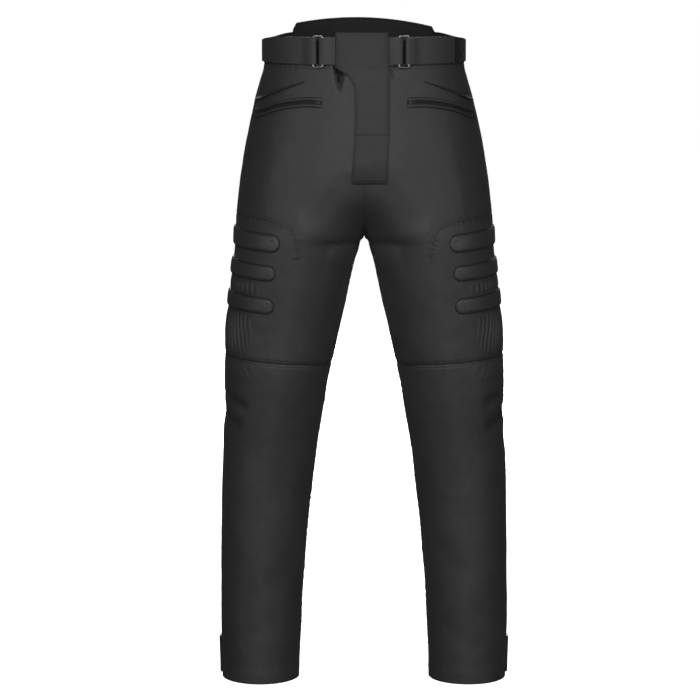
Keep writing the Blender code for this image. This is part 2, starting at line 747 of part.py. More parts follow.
def folded_path(under_end, over_end, bar, way):
    """From the under layer's end round a bar and back. Way is 1 where the ends lie farther
    round the waist than the bar, and -1 where they lie nearer the centre."""
    half = STRAP_THICKNESS / 2
    under = BAND_PROUD + SEAM_GAP + half
    over = under + STRAP_THICKNESS + SEAM_GAP
    reach = RING_WIRE + RING_CLEARANCE + half
    length = (under_end - bar) * way
    count = max(2, round(length / STRAP_STEP))
    path = []
    for k in range(count):
        path.append((under_end - way * length * k / count, under))
    for k in range(STRAP_TURN_STEPS + 1):
        turn = -pi / 2 - pi * k / STRAP_TURN_STEPS
        path.append((bar + way * reach * cos(turn), RING_LIFT + reach * sin(turn)))
    length = (over_end - bar) * way
    count = max(3, round(length / STRAP_STEP))
    for k in range(1, count + 1):
        walk = length * k / count
        settled = smooth_step(walk / min(STRAP_SETTLES, length))
        path.append((bar + way * walk, RING_LIFT + reach + (over - RING_LIFT - reach) * settled))
    return path


def adjusters(collection):
    ring = half_ring(0.0)
    for side, adjuster in ADJUSTERS.items():
        front = slice(0, ring.side_index + 1)
        middle = float(np.interp(adjuster.ring_x, ring.x[front], ring.walk[front]))
        strap_bar = middle + RING_WIDTH / 2
        loop_bar = middle - RING_WIDTH / 2
        path = folded_path(STRAP_START * ring.side_walk, adjuster.free_end * ring.side_walk,
                           strap_bar, 1)
        ribbon(f"waist_strap_{side}", side, path, "strap_webbing", collection)
        flap_edge = max(abs(row.left if side == "left" else row.right) for row in FLAP
                        if row.height > FLAP_OVER_BAND)
        walk = float(np.interp(flap_edge, ring.x[front], ring.walk[front])) + SEAM_GAP
        ribbon(f"ring_loop_{side}", side, folded_path(walk, walk, loop_bar, -1),
               "strap_webbing", collection)
        waist_ring(f"waist_ring_{side}", side, middle, collection)


def waist_ring(name, side, walk, collection):
    """A rectangle of wire with round corners, flat against the waist."""
    centre = waist_spot(side, walk, RING_LIFT, RING_MIDDLE)
    ahead = waist_spot(side, walk + 0.002, RING_LIFT, RING_MIDDLE)
    back = waist_spot(side, walk - 0.002, RING_LIFT, RING_MIDDLE)
    along = (ahead - back).normalized()
    curve = bpy.data.curves.new(name, "CURVE")
    curve.dimensions = "3D"
    curve.bevel_depth = RING_WIRE
    curve.bevel_resolution = 2
    line = curve.splines.new("POLY")
    line.use_cyclic_u = True
    places = []
    for corner, (sx, sz) in enumerate(((1, 1), (-1, 1), (-1, -1), (1, -1))):
        for k in range(4):
            turn = pi / 2 * (corner + k / 3)
            places.append((sx * (RING_WIDTH / 2 - RING_CORNER) + RING_CORNER * cos(turn),
                           sz * (RING_HEIGHT / 2 - RING_CORNER) + RING_CORNER * sin(turn)))
    line.points.add(len(places) - 1)
    for point, (u, v) in zip(line.points, places):
        point.co = (*(centre + along * u + Vector((0, 0, v))), 1)
    guide = bpy.data.objects.new(name + "_path", curve)
    collection.objects.link(guide)
    bpy.context.view_layer.update()
    shape = bpy.data.meshes.new_from_object(guide.evaluated_get(
        bpy.context.evaluated_depsgraph_get()))
    bpy.data.objects.remove(guide)
    object_of(name, shape, "ring_metal", collection)


# What lies on a panel
def from_side_seam(around, height):
    """A place as if the cloth were flat: how far it lies past the side seam, and its height."""
    return Vector(((around - 1) * half_ring(round(height, 7)).side_walk, height))


def raised_strip(name, side, middle_line, breadth, height_at, lift, finish, collection,
                 stations, rows):
    """A strip along a middle line of (around, height) places for 0 to 1, raised off the cloth.
    Breadth gives its full width at a place along it, and height_at its rise at any place.
    Its points lie at the stations, and in rows across it."""
    outer = {}
    inner = {}
    for c, u in enumerate(stations):
        middle = from_side_seam(*middle_line(u))
        run = (from_side_seam(*middle_line(min(u + 0.01, 1.0)))
               - from_side_seam(*middle_line(max(u - 0.01, 0.0)))).normalized()
        for r in range(rows + 1):
            v = 1 - 2 * r / rows
            spot = middle + Vector((-run.y, run.x)) * (v * breadth(u) / 2)
            around = 1 + spot.x / half_ring(round(spot.y, 7)).side_walk
            inner[c, r] = skin(side, around, spot.y, lift)
            outer[c, r] = skin(side, around, spot.y, lift + height_at(u, v))
    return closed_wall(name, outer, inner, grid_cells(len(stations) - 1, rows), finish, collection)


def even_stations(count):
    return [k / count for k in range(count + 1)]


def ribs(collection):
    """Padded fingers that start in the side seam and end round towards the knee."""
    for side in SIGNS:
        for number, rib in enumerate(RIBS, 1):
            start = around_at(rib.inner_x, rib.inner_height)
            ring = half_ring(round(rib.inner_height, 7))
            side_end = 1 - SEAM_GAP / ring.side_walk
            length = (side_end - start) * ring.side_walk
            round_part = rib.breadth / 2 / length

            def middle_line(u, rib=rib, start=start, end=side_end):
                drop = smooth_step(0.5 + u / 2) * 2 - 1
                return (start + (end - start) * u,
                        rib.inner_height + (rib.side_height - rib.inner_height) * drop)

            def breadth(u, rib=rib, round_part=round_part):
                if u >= round_part:
                    return rib.breadth
                return rib.breadth * sqrt(max(1 - (1 - u / round_part) ** 2, RIB_TIP ** 2))

            def height_at(u, v, round_part=round_part):
                over_end = sqrt(max(1 - max(1 - u / round_part, 0) ** 2, 0.0))
                return RIB_EDGE_HEIGHT + RIB_HEIGHT * over_end * (1 - v ** 4) ** 0.5
            stations = [round_part * (1 - cos(pi / 2 * k / RIB_END_STATIONS))
                        for k in range(RIB_END_STATIONS)]
            stations += [round_part + (1 - round_part) * u for u in even_stations(RIB_STATIONS)]
            raised_strip(f"knee_rib_{number}_{side}", side, middle_line, breadth, height_at,
                         RIB_LIFT, "rib_cloth", collection, stations, RIB_ROWS)


def seen_line(read, table, side_shift):
    """A middle line from a table of x and height, shifted up or down square to it."""
    first = table[-1].x
    last = table[0].x

    def middle_line(u):
        x = first + (last - first) * u
        height = read("height", x) + side_shift
        return around_at(x, height), height
    return middle_line


def pockets(collection):
    def lip_height(u, v):
        rounded = LIP_EDGE + (1 - LIP_EDGE) * sqrt(1 - v * v)
        return LIP_HEIGHT * rounded * min(1, LIP_START + u / LIP_START_RUN)

    def tuck_share(u):
        return TUCK_END + (1 - TUCK_END) * u

    for side in SIGNS:
        for name, shift in (("upper", LIP_OFFSET), ("lower", -LIP_OFFSET)):
            raised_strip(f"pocket_lip_{name}_{side}", side,
                         seen_line(read_pocket, POCKET, shift), lambda u: LIP_BREADTH,
                         lip_height, TRIM_LIFT, "shell_cloth", collection,
                         even_stations(POCKET_STATIONS), rows=3)
        raised_strip(f"pocket_zip_{side}", side, seen_line(read_pocket, POCKET, 0.0),
                     lambda u: ZIP_BREADTH, lambda u, v: ZIP_HEIGHT, TRIM_LIFT,
                     "zip_tape", collection, even_stations(POCKET_STATIONS), rows=1)
        raised_strip(f"hip_tuck_{side}", side, seen_line(read_tuck, TUCK, 0.0),
                     lambda u: TUCK_BREADTH * tuck_share(u),
                     lambda u, v: TUCK_HEIGHT * tuck_share(u) * (1 - v * TUCK_SLOPE), TRIM_LIFT,
                     "shell_cloth", collection, even_stations(TUCK_STATIONS), rows=2)


def hem_tabs(collection):
    """A tab round the outer side of each hem, with round corners at its front end."""
    for side in SIGNS:
        outer = {}
        inner = {}
        middle = (TAB_TOP + TAB_BOTTOM) / 2
        half = (TAB_TOP - TAB_BOTTOM) / 2
        ring = half_ring(round(middle, 7))
        for c in range(TAB_COLUMNS + 1):
            around = TAB_FROM + (TAB_TO - TAB_FROM) * (c / TAB_COLUMNS) ** TAB_COLUMNS_CROWD
            from_end = (walk_of(ring, around) - walk_of(ring, TAB_FROM)) / TAB_CORNER
            cut = TAB_CORNER * (1 - sqrt(max(1 - max(1 - from_end, 0) ** 2, 0)))
            for r in range(TAB_ROWS + 1):
                height = middle + (half - cut) * (1 - 2 * r / TAB_ROWS)
                inner[c, r] = skin(side, around, height, SEAM_GAP)
                outer[c, r] = skin(side, around, height, SEAM_GAP + TAB_THICKNESS)
        closed_wall(f"hem_tab_{side}", outer, inner, grid_cells(TAB_COLUMNS, TAB_ROWS),
                    "panel_cloth", collection)


def main():
    for obj in list(bpy.data.objects):
        bpy.data.objects.remove(obj)
    collection = bpy.data.collections.new("motorcycle_trousers")
    bpy.context.scene.collection.children.link(collection)
    waistband(collection)
    leg_panels(collection)
    closure_flap(collection)
    adjusters(collection)
    pockets(collection)
    ribs(collection)
    hem_tabs(collection)


main()
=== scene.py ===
from collections import namedtuple
from math import cos, pi, radians, sin

import bmesh
import bpy
import numpy as np
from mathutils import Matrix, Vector, kdtree, noise
from mathutils.bvhtree import BVHTree


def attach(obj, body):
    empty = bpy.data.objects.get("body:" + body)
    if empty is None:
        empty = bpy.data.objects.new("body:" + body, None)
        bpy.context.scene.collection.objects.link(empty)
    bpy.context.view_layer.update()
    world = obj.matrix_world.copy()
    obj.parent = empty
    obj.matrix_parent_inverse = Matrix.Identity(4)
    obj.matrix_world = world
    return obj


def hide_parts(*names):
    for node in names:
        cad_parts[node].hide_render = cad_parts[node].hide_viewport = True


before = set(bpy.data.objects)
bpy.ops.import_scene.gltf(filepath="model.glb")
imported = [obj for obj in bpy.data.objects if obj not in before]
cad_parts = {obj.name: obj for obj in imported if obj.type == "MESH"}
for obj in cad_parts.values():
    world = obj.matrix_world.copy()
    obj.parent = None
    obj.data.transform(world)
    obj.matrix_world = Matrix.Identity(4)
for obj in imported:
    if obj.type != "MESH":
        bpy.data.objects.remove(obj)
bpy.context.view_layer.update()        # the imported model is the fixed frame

print("frame loaded")

# The garment's form, with the same sizes and tables as the CAD model
form = {
    "bandTop": 0.0204,
    "bandBottom": -0.0260,
    "bandProud": 0.0010,
    "bandDip": 0.0085,
    "bandDipFrom": 0.50,
    "hem": -1.0515,
    "fork": -0.3097,
    "riseTop": -0.2000,
    "crotchRoundness": 2.3,
    "sideSeamTurn": radians(10),
    "yokeCornerDip": 0.018,
    "yokeDipAcross": 0.5,
    "yokeDipDown": 0.6,
}
ringColumns = ("height", "outer", "centre", "inner", "front", "back")
ringTable = [
    (0.0500, 0.1632, 0.0000, 0.0000, 0.1125, 0.1130),
    (-0.0280, 0.1632, 0.0000, 0.0000, 0.1125, 0.1130),
    (-0.0550, 0.1696, 0.0040, 0.0000, 0.1155, 0.1200),
    (-0.0880, 0.1788, 0.0100, 0.0000, 0.1175, 0.1270),
    (-0.1210, 0.1863, 0.0170, 0.0000, 0.1190, 0.1340),
    (-0.1530, 0.1930, 0.0250, 0.0000, 0.1205, 0.1395),
    (-0.1860, 0.1989, 0.0350, 0.0000, 0.1215, 0.1425),
    (-0.2190, 0.2038, 0.0480, 0.0000, 0.1215, 0.1430),
    (-0.2520, 0.2074, 0.0640, 0.0000, 0.1205, 0.1395),
    (-0.2850, 0.2106, 0.0860, 0.0000, 0.1185, 0.1310),
    (-0.3097, 0.2115, 0.1055, 0.0000, 0.1165, 0.1240),
    (-0.3130, 0.2117, 0.1075, 0.0045, 0.1162, 0.1232),
    (-0.3180, 0.2120, 0.1098, 0.0074, 0.1158, 0.1220),
    (-0.3344, 0.2133, 0.1128, 0.0107, 0.1145, 0.1185),
    (-0.3509, 0.2150, 0.1158, 0.0148, 0.1130, 0.1150),
    (-0.3840, 0.2187, 0.1211, 0.0222, 0.1100, 0.1090),
    (-0.4170, 0.2222, 0.1264, 0.0296, 0.1065, 0.1040),
    (-0.4500, 0.2263, 0.1321, 0.0379, 0.1035, 0.0990),
    (-0.4840, 0.2285, 0.1365, 0.0445, 0.1010, 0.0950),
    (-0.5170, 0.2295, 0.1408, 0.0520, 0.0985, 0.0915),
    (-0.5505, 0.2310, 0.1452, 0.0595, 0.0950, 0.0895),
    (-0.5840, 0.2323, 0.1484, 0.0645, 0.0905, 0.0885),
    (-0.6510, 0.2336, 0.1549, 0.0762, 0.0820, 0.0885),
    (-0.7180, 0.2358, 0.1597, 0.0846, 0.0750, 0.0890),
    (-0.7860, 0.2372, 0.1642, 0.0923, 0.0700, 0.0890),
    (-0.8540, 0.2385, 0.1679, 0.0983, 0.0665, 0.0880),
    (-0.9220, 0.2390, 0.1702, 0.1026, 0.0640, 0.0865),
    (-0.9730, 0.2386, 0.1713, 0.1053, 0.0625, 0.0850),
    (-1.0530, 0.2368, 0.1720, 0.1090, 0.0610, 0.0830),
]
rowTable = [                     # height along the centre and inseam, height at the side seam
    (-0.0260, -0.0260), (-0.0500, -0.0500), (-0.0750, -0.0750), (-0.1000, -0.1000),
    (-0.1260, -0.1250), (-0.1520, -0.1500), (-0.1780, -0.1750), (-0.2030, -0.2000),
    (-0.2270, -0.2250), (-0.2490, -0.2490), (-0.2680, -0.2730), (-0.2840, -0.2950),
    (-0.2970, -0.3160), (-0.3055, -0.3370), (-0.3097, -0.3580), (-0.3160, -0.3790),
    (-0.3280, -0.4000), (-0.3500, -0.4210), (-0.3820, -0.4420), (-0.4220, -0.4640),
    (-0.4670, -0.4850), (-0.5205, -0.5020), (-0.5390, -0.5290), (-0.5570, -0.5540),
    (-0.5800, -0.5790), (-0.6030, -0.6030), (-0.6280, -0.6280), (-0.6570, -0.6570),
    (-0.6950, -0.6950), (-0.7400, -0.7400), (-0.7900, -0.7900), (-0.8450, -0.8450),
    (-0.9000, -0.9000), (-0.9500, -0.9500), (-1.0000, -1.0000), (-1.0515, -1.0515),
]
yokeRow, forkRow, kneeRow, hemRow = 10, 14, 21, 35
yokeColumn, sideColumn, backColumn = 6, 14, 24
yokeSeam = [                     # height, and x seen from the front
    (0.0500, 0.0960), (-0.0260, 0.0980), (-0.2850, 0.1215), (-0.2990, 0.1140),
    (-0.3110, 0.1110), (-0.3450, 0.1060), (-0.4200, 0.0990), (-0.5140, 0.0940),
    (-1.0520, 0.1500),
]
signs = {"left": -1, "right": 1}
waistHalf = ringTable[0][1]
shellSizes = {
    "insidePoints": 24,         # points of a ring on its inside, and on each quarter of its outside
    "quarterPoints": 48,
    "belowHem": 0.0015, "top": 0.0501, "levelStep": 0.0025,
    "forkReach": 0.11, "forkSteps": 60, "forkPower": 2.3,      # closer levels above the fork
    "frontSteps": 160, "backSteps": 200,
}


def smoothRead(places, values, at):
    # smooth interpolation that never overshoots; places rise
    places = np.asarray(places, float)
    values = np.asarray(values, float)
    steps = np.diff(places)
    rises = np.diff(values) / steps
    product = rises[:-1] * rises[1:]
    total = np.where(product > 0, rises[:-1] + rises[1:], 1.0)
    inner = np.where(product > 0, 2 * product / total, 0.0)
    slopes = np.concatenate([rises[:1], inner, rises[-1:]])
    at = np.clip(at, places[0], places[-1])
    k = np.clip(np.searchsorted(places, at, side="right") - 1, 0, len(steps) - 1)
    t = (at - places[k]) / steps[k]
    low = (1 + 2 * t) * (1 - t) ** 2 * values[k] + t * (1 - t) ** 2 * steps[k] * slopes[k]
    high = t * t * (3 - 2 * t) * values[k + 1] - t * t * (1 - t) * steps[k] * slopes[k + 1]
    return low + high


def smoothStep(t):
    t = np.clip(t, 0.0, 1.0)
    return t * t * (3 - 2 * t)


def readTable(table, number, at):
    # one column of a table, read smoothly against its first
    rows = sorted(table)
    return smoothRead([row[0] for row in rows], [row[number] for row in rows], at)


def bell(away, width):
    # 1 in the middle, falling off on both sides
    return np.exp(-(away / width) ** 2)


def dome(t):
    # a quarter circle: 1 at zero, down to 0 at one
    return np.sqrt(np.clip(1 - t ** 2, 0, 1))


def runningSum(steps):
    return np.concatenate([[0.0], np.cumsum(steps)])


def halfRing(height):
    # one half at a height, from its inside front round the side to its inside back
    outer, centre, inner, front, back = (float(readTable(ringTable, number, height))
                                         for number in range(1, len(ringColumns)))
    cut = 1.0
    if height > form["fork"]:
        rise = min(1.0, (height - form["fork"]) / (form["riseTop"] - form["fork"]))
        roundness = form["crotchRoundness"]
        opened = (1 - (1 - rise) ** roundness) ** (1 / roundness)
        cut = max(0.0, 1 - opened ** 2) ** 0.5
        inner = 0.0
    inside = np.linspace(1, 0, shellSizes["insidePoints"], endpoint=False)
    turn = inside * np.arcsin(cut)
    inward = np.sin(turn) / cut if cut > 1e-6 else inside
    quarter = np.linspace(0, pi / 2, shellSizes["quarterPoints"])
    x = np.concatenate([centre - (centre - inner) * inward,
                        centre + (outer - centre) * np.sin(quarter)])
    y = (back + front) / 2 * np.concatenate([np.cos(turn), np.cos(quarter)])
    x = np.concatenate([x, x[-2::-1]])
    y = (back - front) / 2 + np.concatenate([-y, y[-2::-1]])
    walk = runningSum(np.hypot(np.diff(x), np.diff(y)))
    outermost = len(inside) + len(quarter) - 1
    seamIndex = outermost + form["sideSeamTurn"] / (pi / 2) * (len(quarter) - 1)
    sideWalk = float(np.interp(seamIndex, np.arange(len(walk)), walk))
    return x, y, walk, sideWalk, outermost


def makeShell():
    # the whole form as one fine table of points and normals, by height and by how far round:
    # 0 is the inside front, 1 the side seam and 2 the inside back
    s = shellSizes
    level = np.arange(form["hem"] - s["belowHem"], s["top"], s["levelStep"])
    nearFork = s["forkReach"] * (np.arange(s["forkSteps"] + 1) / s["forkSteps"]) ** s["forkPower"]
    level = np.unique(np.round(np.concatenate([level, form["fork"] + nearFork]), 6))
    around = np.concatenate([np.linspace(0, 1, s["frontSteps"] + 1),
                             np.linspace(1, 2, s["backSteps"] + 1)[1:]])
    points = np.empty((len(level), len(around), 3))
    sideWalks = np.empty(len(level))
    lengths = np.empty(len(level))
    yoke = np.empty(len(level))
    for k, height in enumerate(level):
        x, y, walk, sideWalk, outermost = halfRing(height)
        behind = sideWalk + (around - 1) * (walk[-1] - sideWalk)
        places = np.where(around <= 1, around * sideWalk, behind)
        points[k, :, 0] = np.interp(places, walk, x)
        points[k, :, 1] = np.interp(places, walk, y)
        points[k, :, 2] = height
        sideWalks[k] = sideWalk
        lengths[k] = walk[-1]
        seamX = float(readTable(yokeSeam, 1, height))
        yoke[k] = np.interp(seamX, x[:outermost + 1], walk[:outermost + 1]) / sideWalk
    along = np.gradient(points, around, axis=1)
    up = np.gradient(points, level, axis=0)
    normals = np.cross(along, up)
    normals /= np.maximum(np.linalg.norm(normals, axis=2, keepdims=True), 1e-12)
    # both halves share their centre seams above the fork, and front and back share the inseam
    above = level >= form["fork"]
    normals[above, 0, 0] = 0
    normals[above, -1, 0] = 0
    inseam = normals[:, 0] + normals[:, -1]
    normals[~above, 0] = inseam[~above]
    normals[~above, -1] = inseam[~above]
    normals /= np.maximum(np.linalg.norm(normals, axis=2, keepdims=True), 1e-12)
    return {"level": level, "around": around, "points": points, "normals": normals,
            "sideWalk": sideWalks, "length": lengths, "yoke": yoke}


shell = makeShell()


def shellAt(around, height):
    # points and outward normals of the half at +X
    a = np.interp(around, shell["around"], np.arange(len(shell["around"])))
    h = np.interp(height, shell["level"], np.arange(len(shell["level"])))
    a0 = np.minimum(a.astype(int), len(shell["around"]) - 2)
    h0 = np.minimum(h.astype(int), len(shell["level"]) - 2)
    a1 = (a - a0)[..., None]
    h1 = (h - h0)[..., None]

    def blend(table):
        low = table[h0, a0] * (1 - a1) + table[h0, a0 + 1] * a1
        high = table[h0 + 1, a0] * (1 - a1) + table[h0 + 1, a0 + 1] * a1
        return low * (1 - h1) + high * h1
    normals = blend(shell["normals"])
    return blend(shell["points"]), normals / np.linalg.norm(normals, axis=-1, keepdims=True)


def walkOf(around, height):
    # distance round the half from its inside front
    sideWalk = np.interp(height, shell["level"], shell["sideWalk"])
    length = np.interp(height, shell["level"], shell["length"])
    return np.where(around <= 1, around * sideWalk, sideWalk + (around - 1) * (length - sideWalk))


def sideWalkAt(height):
    return np.interp(height, shell["level"], shell["sideWalk"])


def aroundOfX(x, height):
    # how far round the front a place lies, from its x as seen from the front
    x, height = np.broadcast_arrays(np.asarray(x, float), np.asarray(height, float))
    found = np.empty(x.shape)
    h = np.interp(height, shell["level"], np.arange(len(shell["level"])))
    for k in np.ndindex(x.shape):
        low = min(int(h[k]), len(shell["level"]) - 2)
        share = h[k] - low
        both = []
        for level in (low, low + 1):
            front = shell["points"][level, :shellSizes["frontSteps"] + 1, 0]
            last = int(np.argmax(front)) + 1
            both.append(np.interp(abs(x[k]), front[:last], shell["around"][:last]))
        found[k] = both[0] * (1 - share) + both[1] * share
    return found


def rowHeight(column, row):
    # rows run level at the waist and bow down round the fork
    number = np.arange(len(rowTable))
    tableInside, tableSide = np.array(rowTable).T
    inside = np.interp(row, number, tableInside)
    belowFork = np.clip(forkRow - row, 0, 1)
    warped = tableInside[forkRow] + (tableInside[forkRow - 1] - tableInside[forkRow]) * (
        belowFork ** form["crotchRoundness"])
    inside = np.where((row > forkRow - 1) & (row < forkRow), warped, inside)
    side = np.interp(row, number, tableSide)
    front = column / sideColumn
    behind = (backColumn - column) / (backColumn - sideColumn)
    toSide = smoothStep(np.where(column <= sideColumn, front, behind))
    height = inside * (1 - toSide) + side * toSide
    dip = form["yokeCornerDip"] * form["yokeDipAcross"] ** np.abs(column - yokeColumn)
    dip = dip * form["yokeDipDown"] ** np.abs(row - yokeRow) * smoothStep(column / 3)
    dipped = (column <= sideColumn) & (row > 0) & (row < kneeRow)
    fade = np.clip(np.minimum(row, kneeRow - row), 0, 1)
    return height - np.where(dipped, dip * fade, 0.0)


def columnAround(column, height):
    yoke = np.interp(height, shell["level"], shell["yoke"])
    nearer = yoke * column / yokeColumn
    farther = yoke + (1 - yoke) * (column - yokeColumn) / (sideColumn - yokeColumn)
    front = np.where(column <= yokeColumn, nearer, farther)
    return np.where(column > sideColumn,
                    1 + (column - sideColumn) / (backColumn - sideColumn), front)


# Folds and creases: soft troughs between two places, each with its height and
# how far round it lies. A depth below zero is a ridge.
Crease = namedtuple("Crease", "side heightA roundA heightB roundB width depth")
creases = [Crease(*row) for row in (
    ("both", -0.590, 1.05, -0.618, 0.80, 0.020, 0.0032),
    ("left", -0.560, 0.98, -0.585, 0.86, 0.018, 0.0020),
    ("right", -0.630, 1.00, -0.655, 0.88, 0.020, 0.0025),
    ("both", -0.490, 0.02, -0.505, 0.16, 0.022, 0.0040),
    ("both", -0.530, 1.30, -0.520, 1.90, 0.020, 0.0045),
    ("both", -0.580, 1.15, -0.560, 1.75, 0.020, 0.0035),
    ("both", -0.330, 1.95, -0.385, 1.45, 0.024, 0.0040),
    ("both", -0.258, 0.00, -0.272, 0.36, 0.036, 0.0024),
    ("both", -0.322, 0.02, -0.334, 0.32, 0.028, -0.0040),
    ("both", -0.195, 0.00, -0.300, 0.00, 0.060, 0.0025),
    # finer ones in front
    ("left", -0.457, 0.46, -0.462, 0.64, 0.009, 0.0006),
    ("right", -0.470, 0.42, -0.466, 0.60, 0.009, 0.0006),
    ("left", -0.562, 0.95, -0.586, 0.62, 0.009, 0.0052),
    ("left", -0.596, 0.98, -0.618, 0.66, 0.010, 0.0062),
    ("right", -0.558, 0.94, -0.580, 0.64, 0.009, 0.0048),
    ("right", -0.594, 0.98, -0.622, 0.65, 0.010, 0.0064),
    ("left", -0.222, 0.16, -0.285, 0.30, 0.014, 0.0010),
    ("right", -0.215, 0.14, -0.292, 0.27, 0.015, 0.0011),
    ("left", -0.335, 0.03, -0.420, 0.20, 0.014, 0.0014),
    ("right", -0.328, 0.03, -0.400, 0.23, 0.014, 0.0016),
    ("left", -0.145, 0.52, -0.275, 0.57, 0.020, -0.0012),
    ("right", -0.140, 0.50, -0.270, 0.56, 0.020, -0.0012),
    ("left", -0.560, 0.30, -0.760, 0.42, 0.022, 0.0012),
    ("right", -0.575, 0.34, -0.730, 0.46, 0.024, 0.0013),
    ("left", -0.640, 0.62, -0.900, 0.55, 0.026, -0.0012),
    ("right", -0.660, 0.60, -0.930, 0.52, 0.024, -0.0011),
    ("left", -0.830, 0.18, -0.900, 0.45, 0.018, 0.0010),
    ("right", -0.800, 0.22, -0.880, 0.52, 0.020, 0.0011),
    ("left", -0.930, 0.30, -0.985, 0.62, 0.016, 0.0009),
    ("right", -0.940, 0.24, -1.000, 0.58, 0.016, 0.0010),
    # behind the knee, under the seat and down the back
    ("left", -0.500, 1.22, -0.495, 1.80, 0.012, 0.0026),
    ("right", -0.505, 1.25, -0.498, 1.84, 0.012, 0.0024),
    ("left", -0.548, 1.20, -0.546, 1.86, 0.011, 0.0030),
    ("right", -0.552, 1.18, -0.541, 1.80, 0.011, 0.0028),
    ("left", -0.606, 1.25, -0.590, 1.72, 0.013, 0.0020),
    ("right", -0.600, 1.22, -0.596, 1.70, 0.013, 0.0022),
    ("left", -0.300, 1.86, -0.330, 1.40, 0.014, 0.0022),
    ("right", -0.296, 1.88, -0.334, 1.42, 0.014, 0.0020),
    ("left", -0.260, 1.92, -0.285, 1.62, 0.016, 0.0014),
    ("right", -0.255, 1.90, -0.280, 1.60, 0.016, 0.0016),
    ("left", -0.680, 1.30, -0.900, 1.42, 0.024, 0.0014),
    ("right", -0.700, 1.34, -0.920, 1.44, 0.024, 0.0013),
    ("both", -0.120, 1.60, -0.230, 1.45, 0.030, -0.0014),
)]
Gather = namedtuple("Gather", "roundA topA bottomA roundB topB bottomB height")
gathers = [                      # raised puckers of the knee panel, between and below its ribs
    Gather(0.60, -0.3790, -0.3980, 0.98, -0.3720, -0.3920, 0.0022),
    Gather(0.63, -0.4310, -0.4960, 0.98, -0.4240, -0.4960, 0.0034),
]
shinGathers = [                  # short ones that start in the knee seam
    Gather(0.58, -0.5125, -0.5420, 0.88, -0.5080, -0.5330, 0.0022),
    Gather(0.10, -0.5150, -0.5330, 0.34, -0.5150, -0.5300, 0.0011),
]


def creaseLift(side, around, height):
    walk = walkOf(around, height)
    total = np.zeros(around.shape)
    for crease in creases:
        if crease.side not in ("both", side):
            continue
        startWalk = walkOf(np.full(around.shape, crease.roundA), height)
        endWalk = walkOf(np.full(around.shape, crease.roundB), height)
        runX = endWalk - startWalk
        runY = crease.heightB - crease.heightA
        fromX = walk - startWalk
        fromY = height - crease.heightA
        t = np.clip((fromX * runX + fromY * runY) / (runX ** 2 + runY ** 2), 0, 1)
        away = np.hypot(fromX - runX * t, fromY - runY * t)
        ends = 1 - np.abs(2 * t - 1) ** 4
        total -= crease.depth * ends * bell(away, crease.width)
    return total


def gatherLift(rows, around, height, phase):
    # phase counts the puckers: each whole number is the foot between two of them
    total = np.zeros(around.shape)
    for gather in rows:
        across = (around - gather.roundA) / (gather.roundB - gather.roundA)
        top = gather.topA + (gather.topB - gather.topA) * across
        bottom = gather.bottomA + (gather.bottomB - gather.bottomA) * across
        along = (top - height) / (top - bottom)
        inside = (along > 0) & (along < 1) & (across > 0) & (across < 1)
        arch = np.sqrt(np.clip(np.sin(pi * np.clip(along, 0, 1)), 0, 1))
        side = np.clip(4 * across * (1 - across), 0, 1)
        wave = 0.5 - 0.5 * np.cos(2 * pi * phase)
        total += np.where(inside, gather.height * arch * side * wave, 0.0)
    return total


def rippleLift(points, size, depth, seed):
    offset = Vector((seed * 3.7, seed * 1.3, seed * 2.1))
    return np.array([noise.noise(Vector(p) / size + offset) for p in points]) * depth


# Materials
class Wire:
    # a node's output that can be worked with as a number
    def __init__(self, tree, socket):
        self.tree = tree
        self.socket = socket

    def maths(self, operation, *others):
        node = self.tree.nodes.new("ShaderNodeMath")
        node.operation = operation
        for slot, value in zip(node.inputs, (self, *others)):
            plug(self.tree, slot, value)
        return Wire(self.tree, node.outputs[0])

    def __add__(self, other):
        return self.maths("ADD", other)

    __radd__ = __add__

    def __sub__(self, other):
        return self.maths("SUBTRACT", other)

    def __rsub__(self, other):
        return self.maths("MULTIPLY", -1.0).maths("ADD", other)

    def __mul__(self, other):
        return self.maths("MULTIPLY", other)

    __rmul__ = __mul__

    def __truediv__(self, other):
        return self.maths("DIVIDE", other)

    def wave(self):
        return self.maths("SINE")

    def size(self):
        return self.maths("ABSOLUTE")

    def bell(self, middle, width):
        # 1 at the middle, falling off smoothly on both sides
        away = (self - middle) / width
        return (away * away * -1.0).maths("EXPONENT")


def plug(tree, slot, value):
    if isinstance(value, Wire):
        tree.links.new(value.socket, slot)
    elif value is not None:
        slot.default_value = value


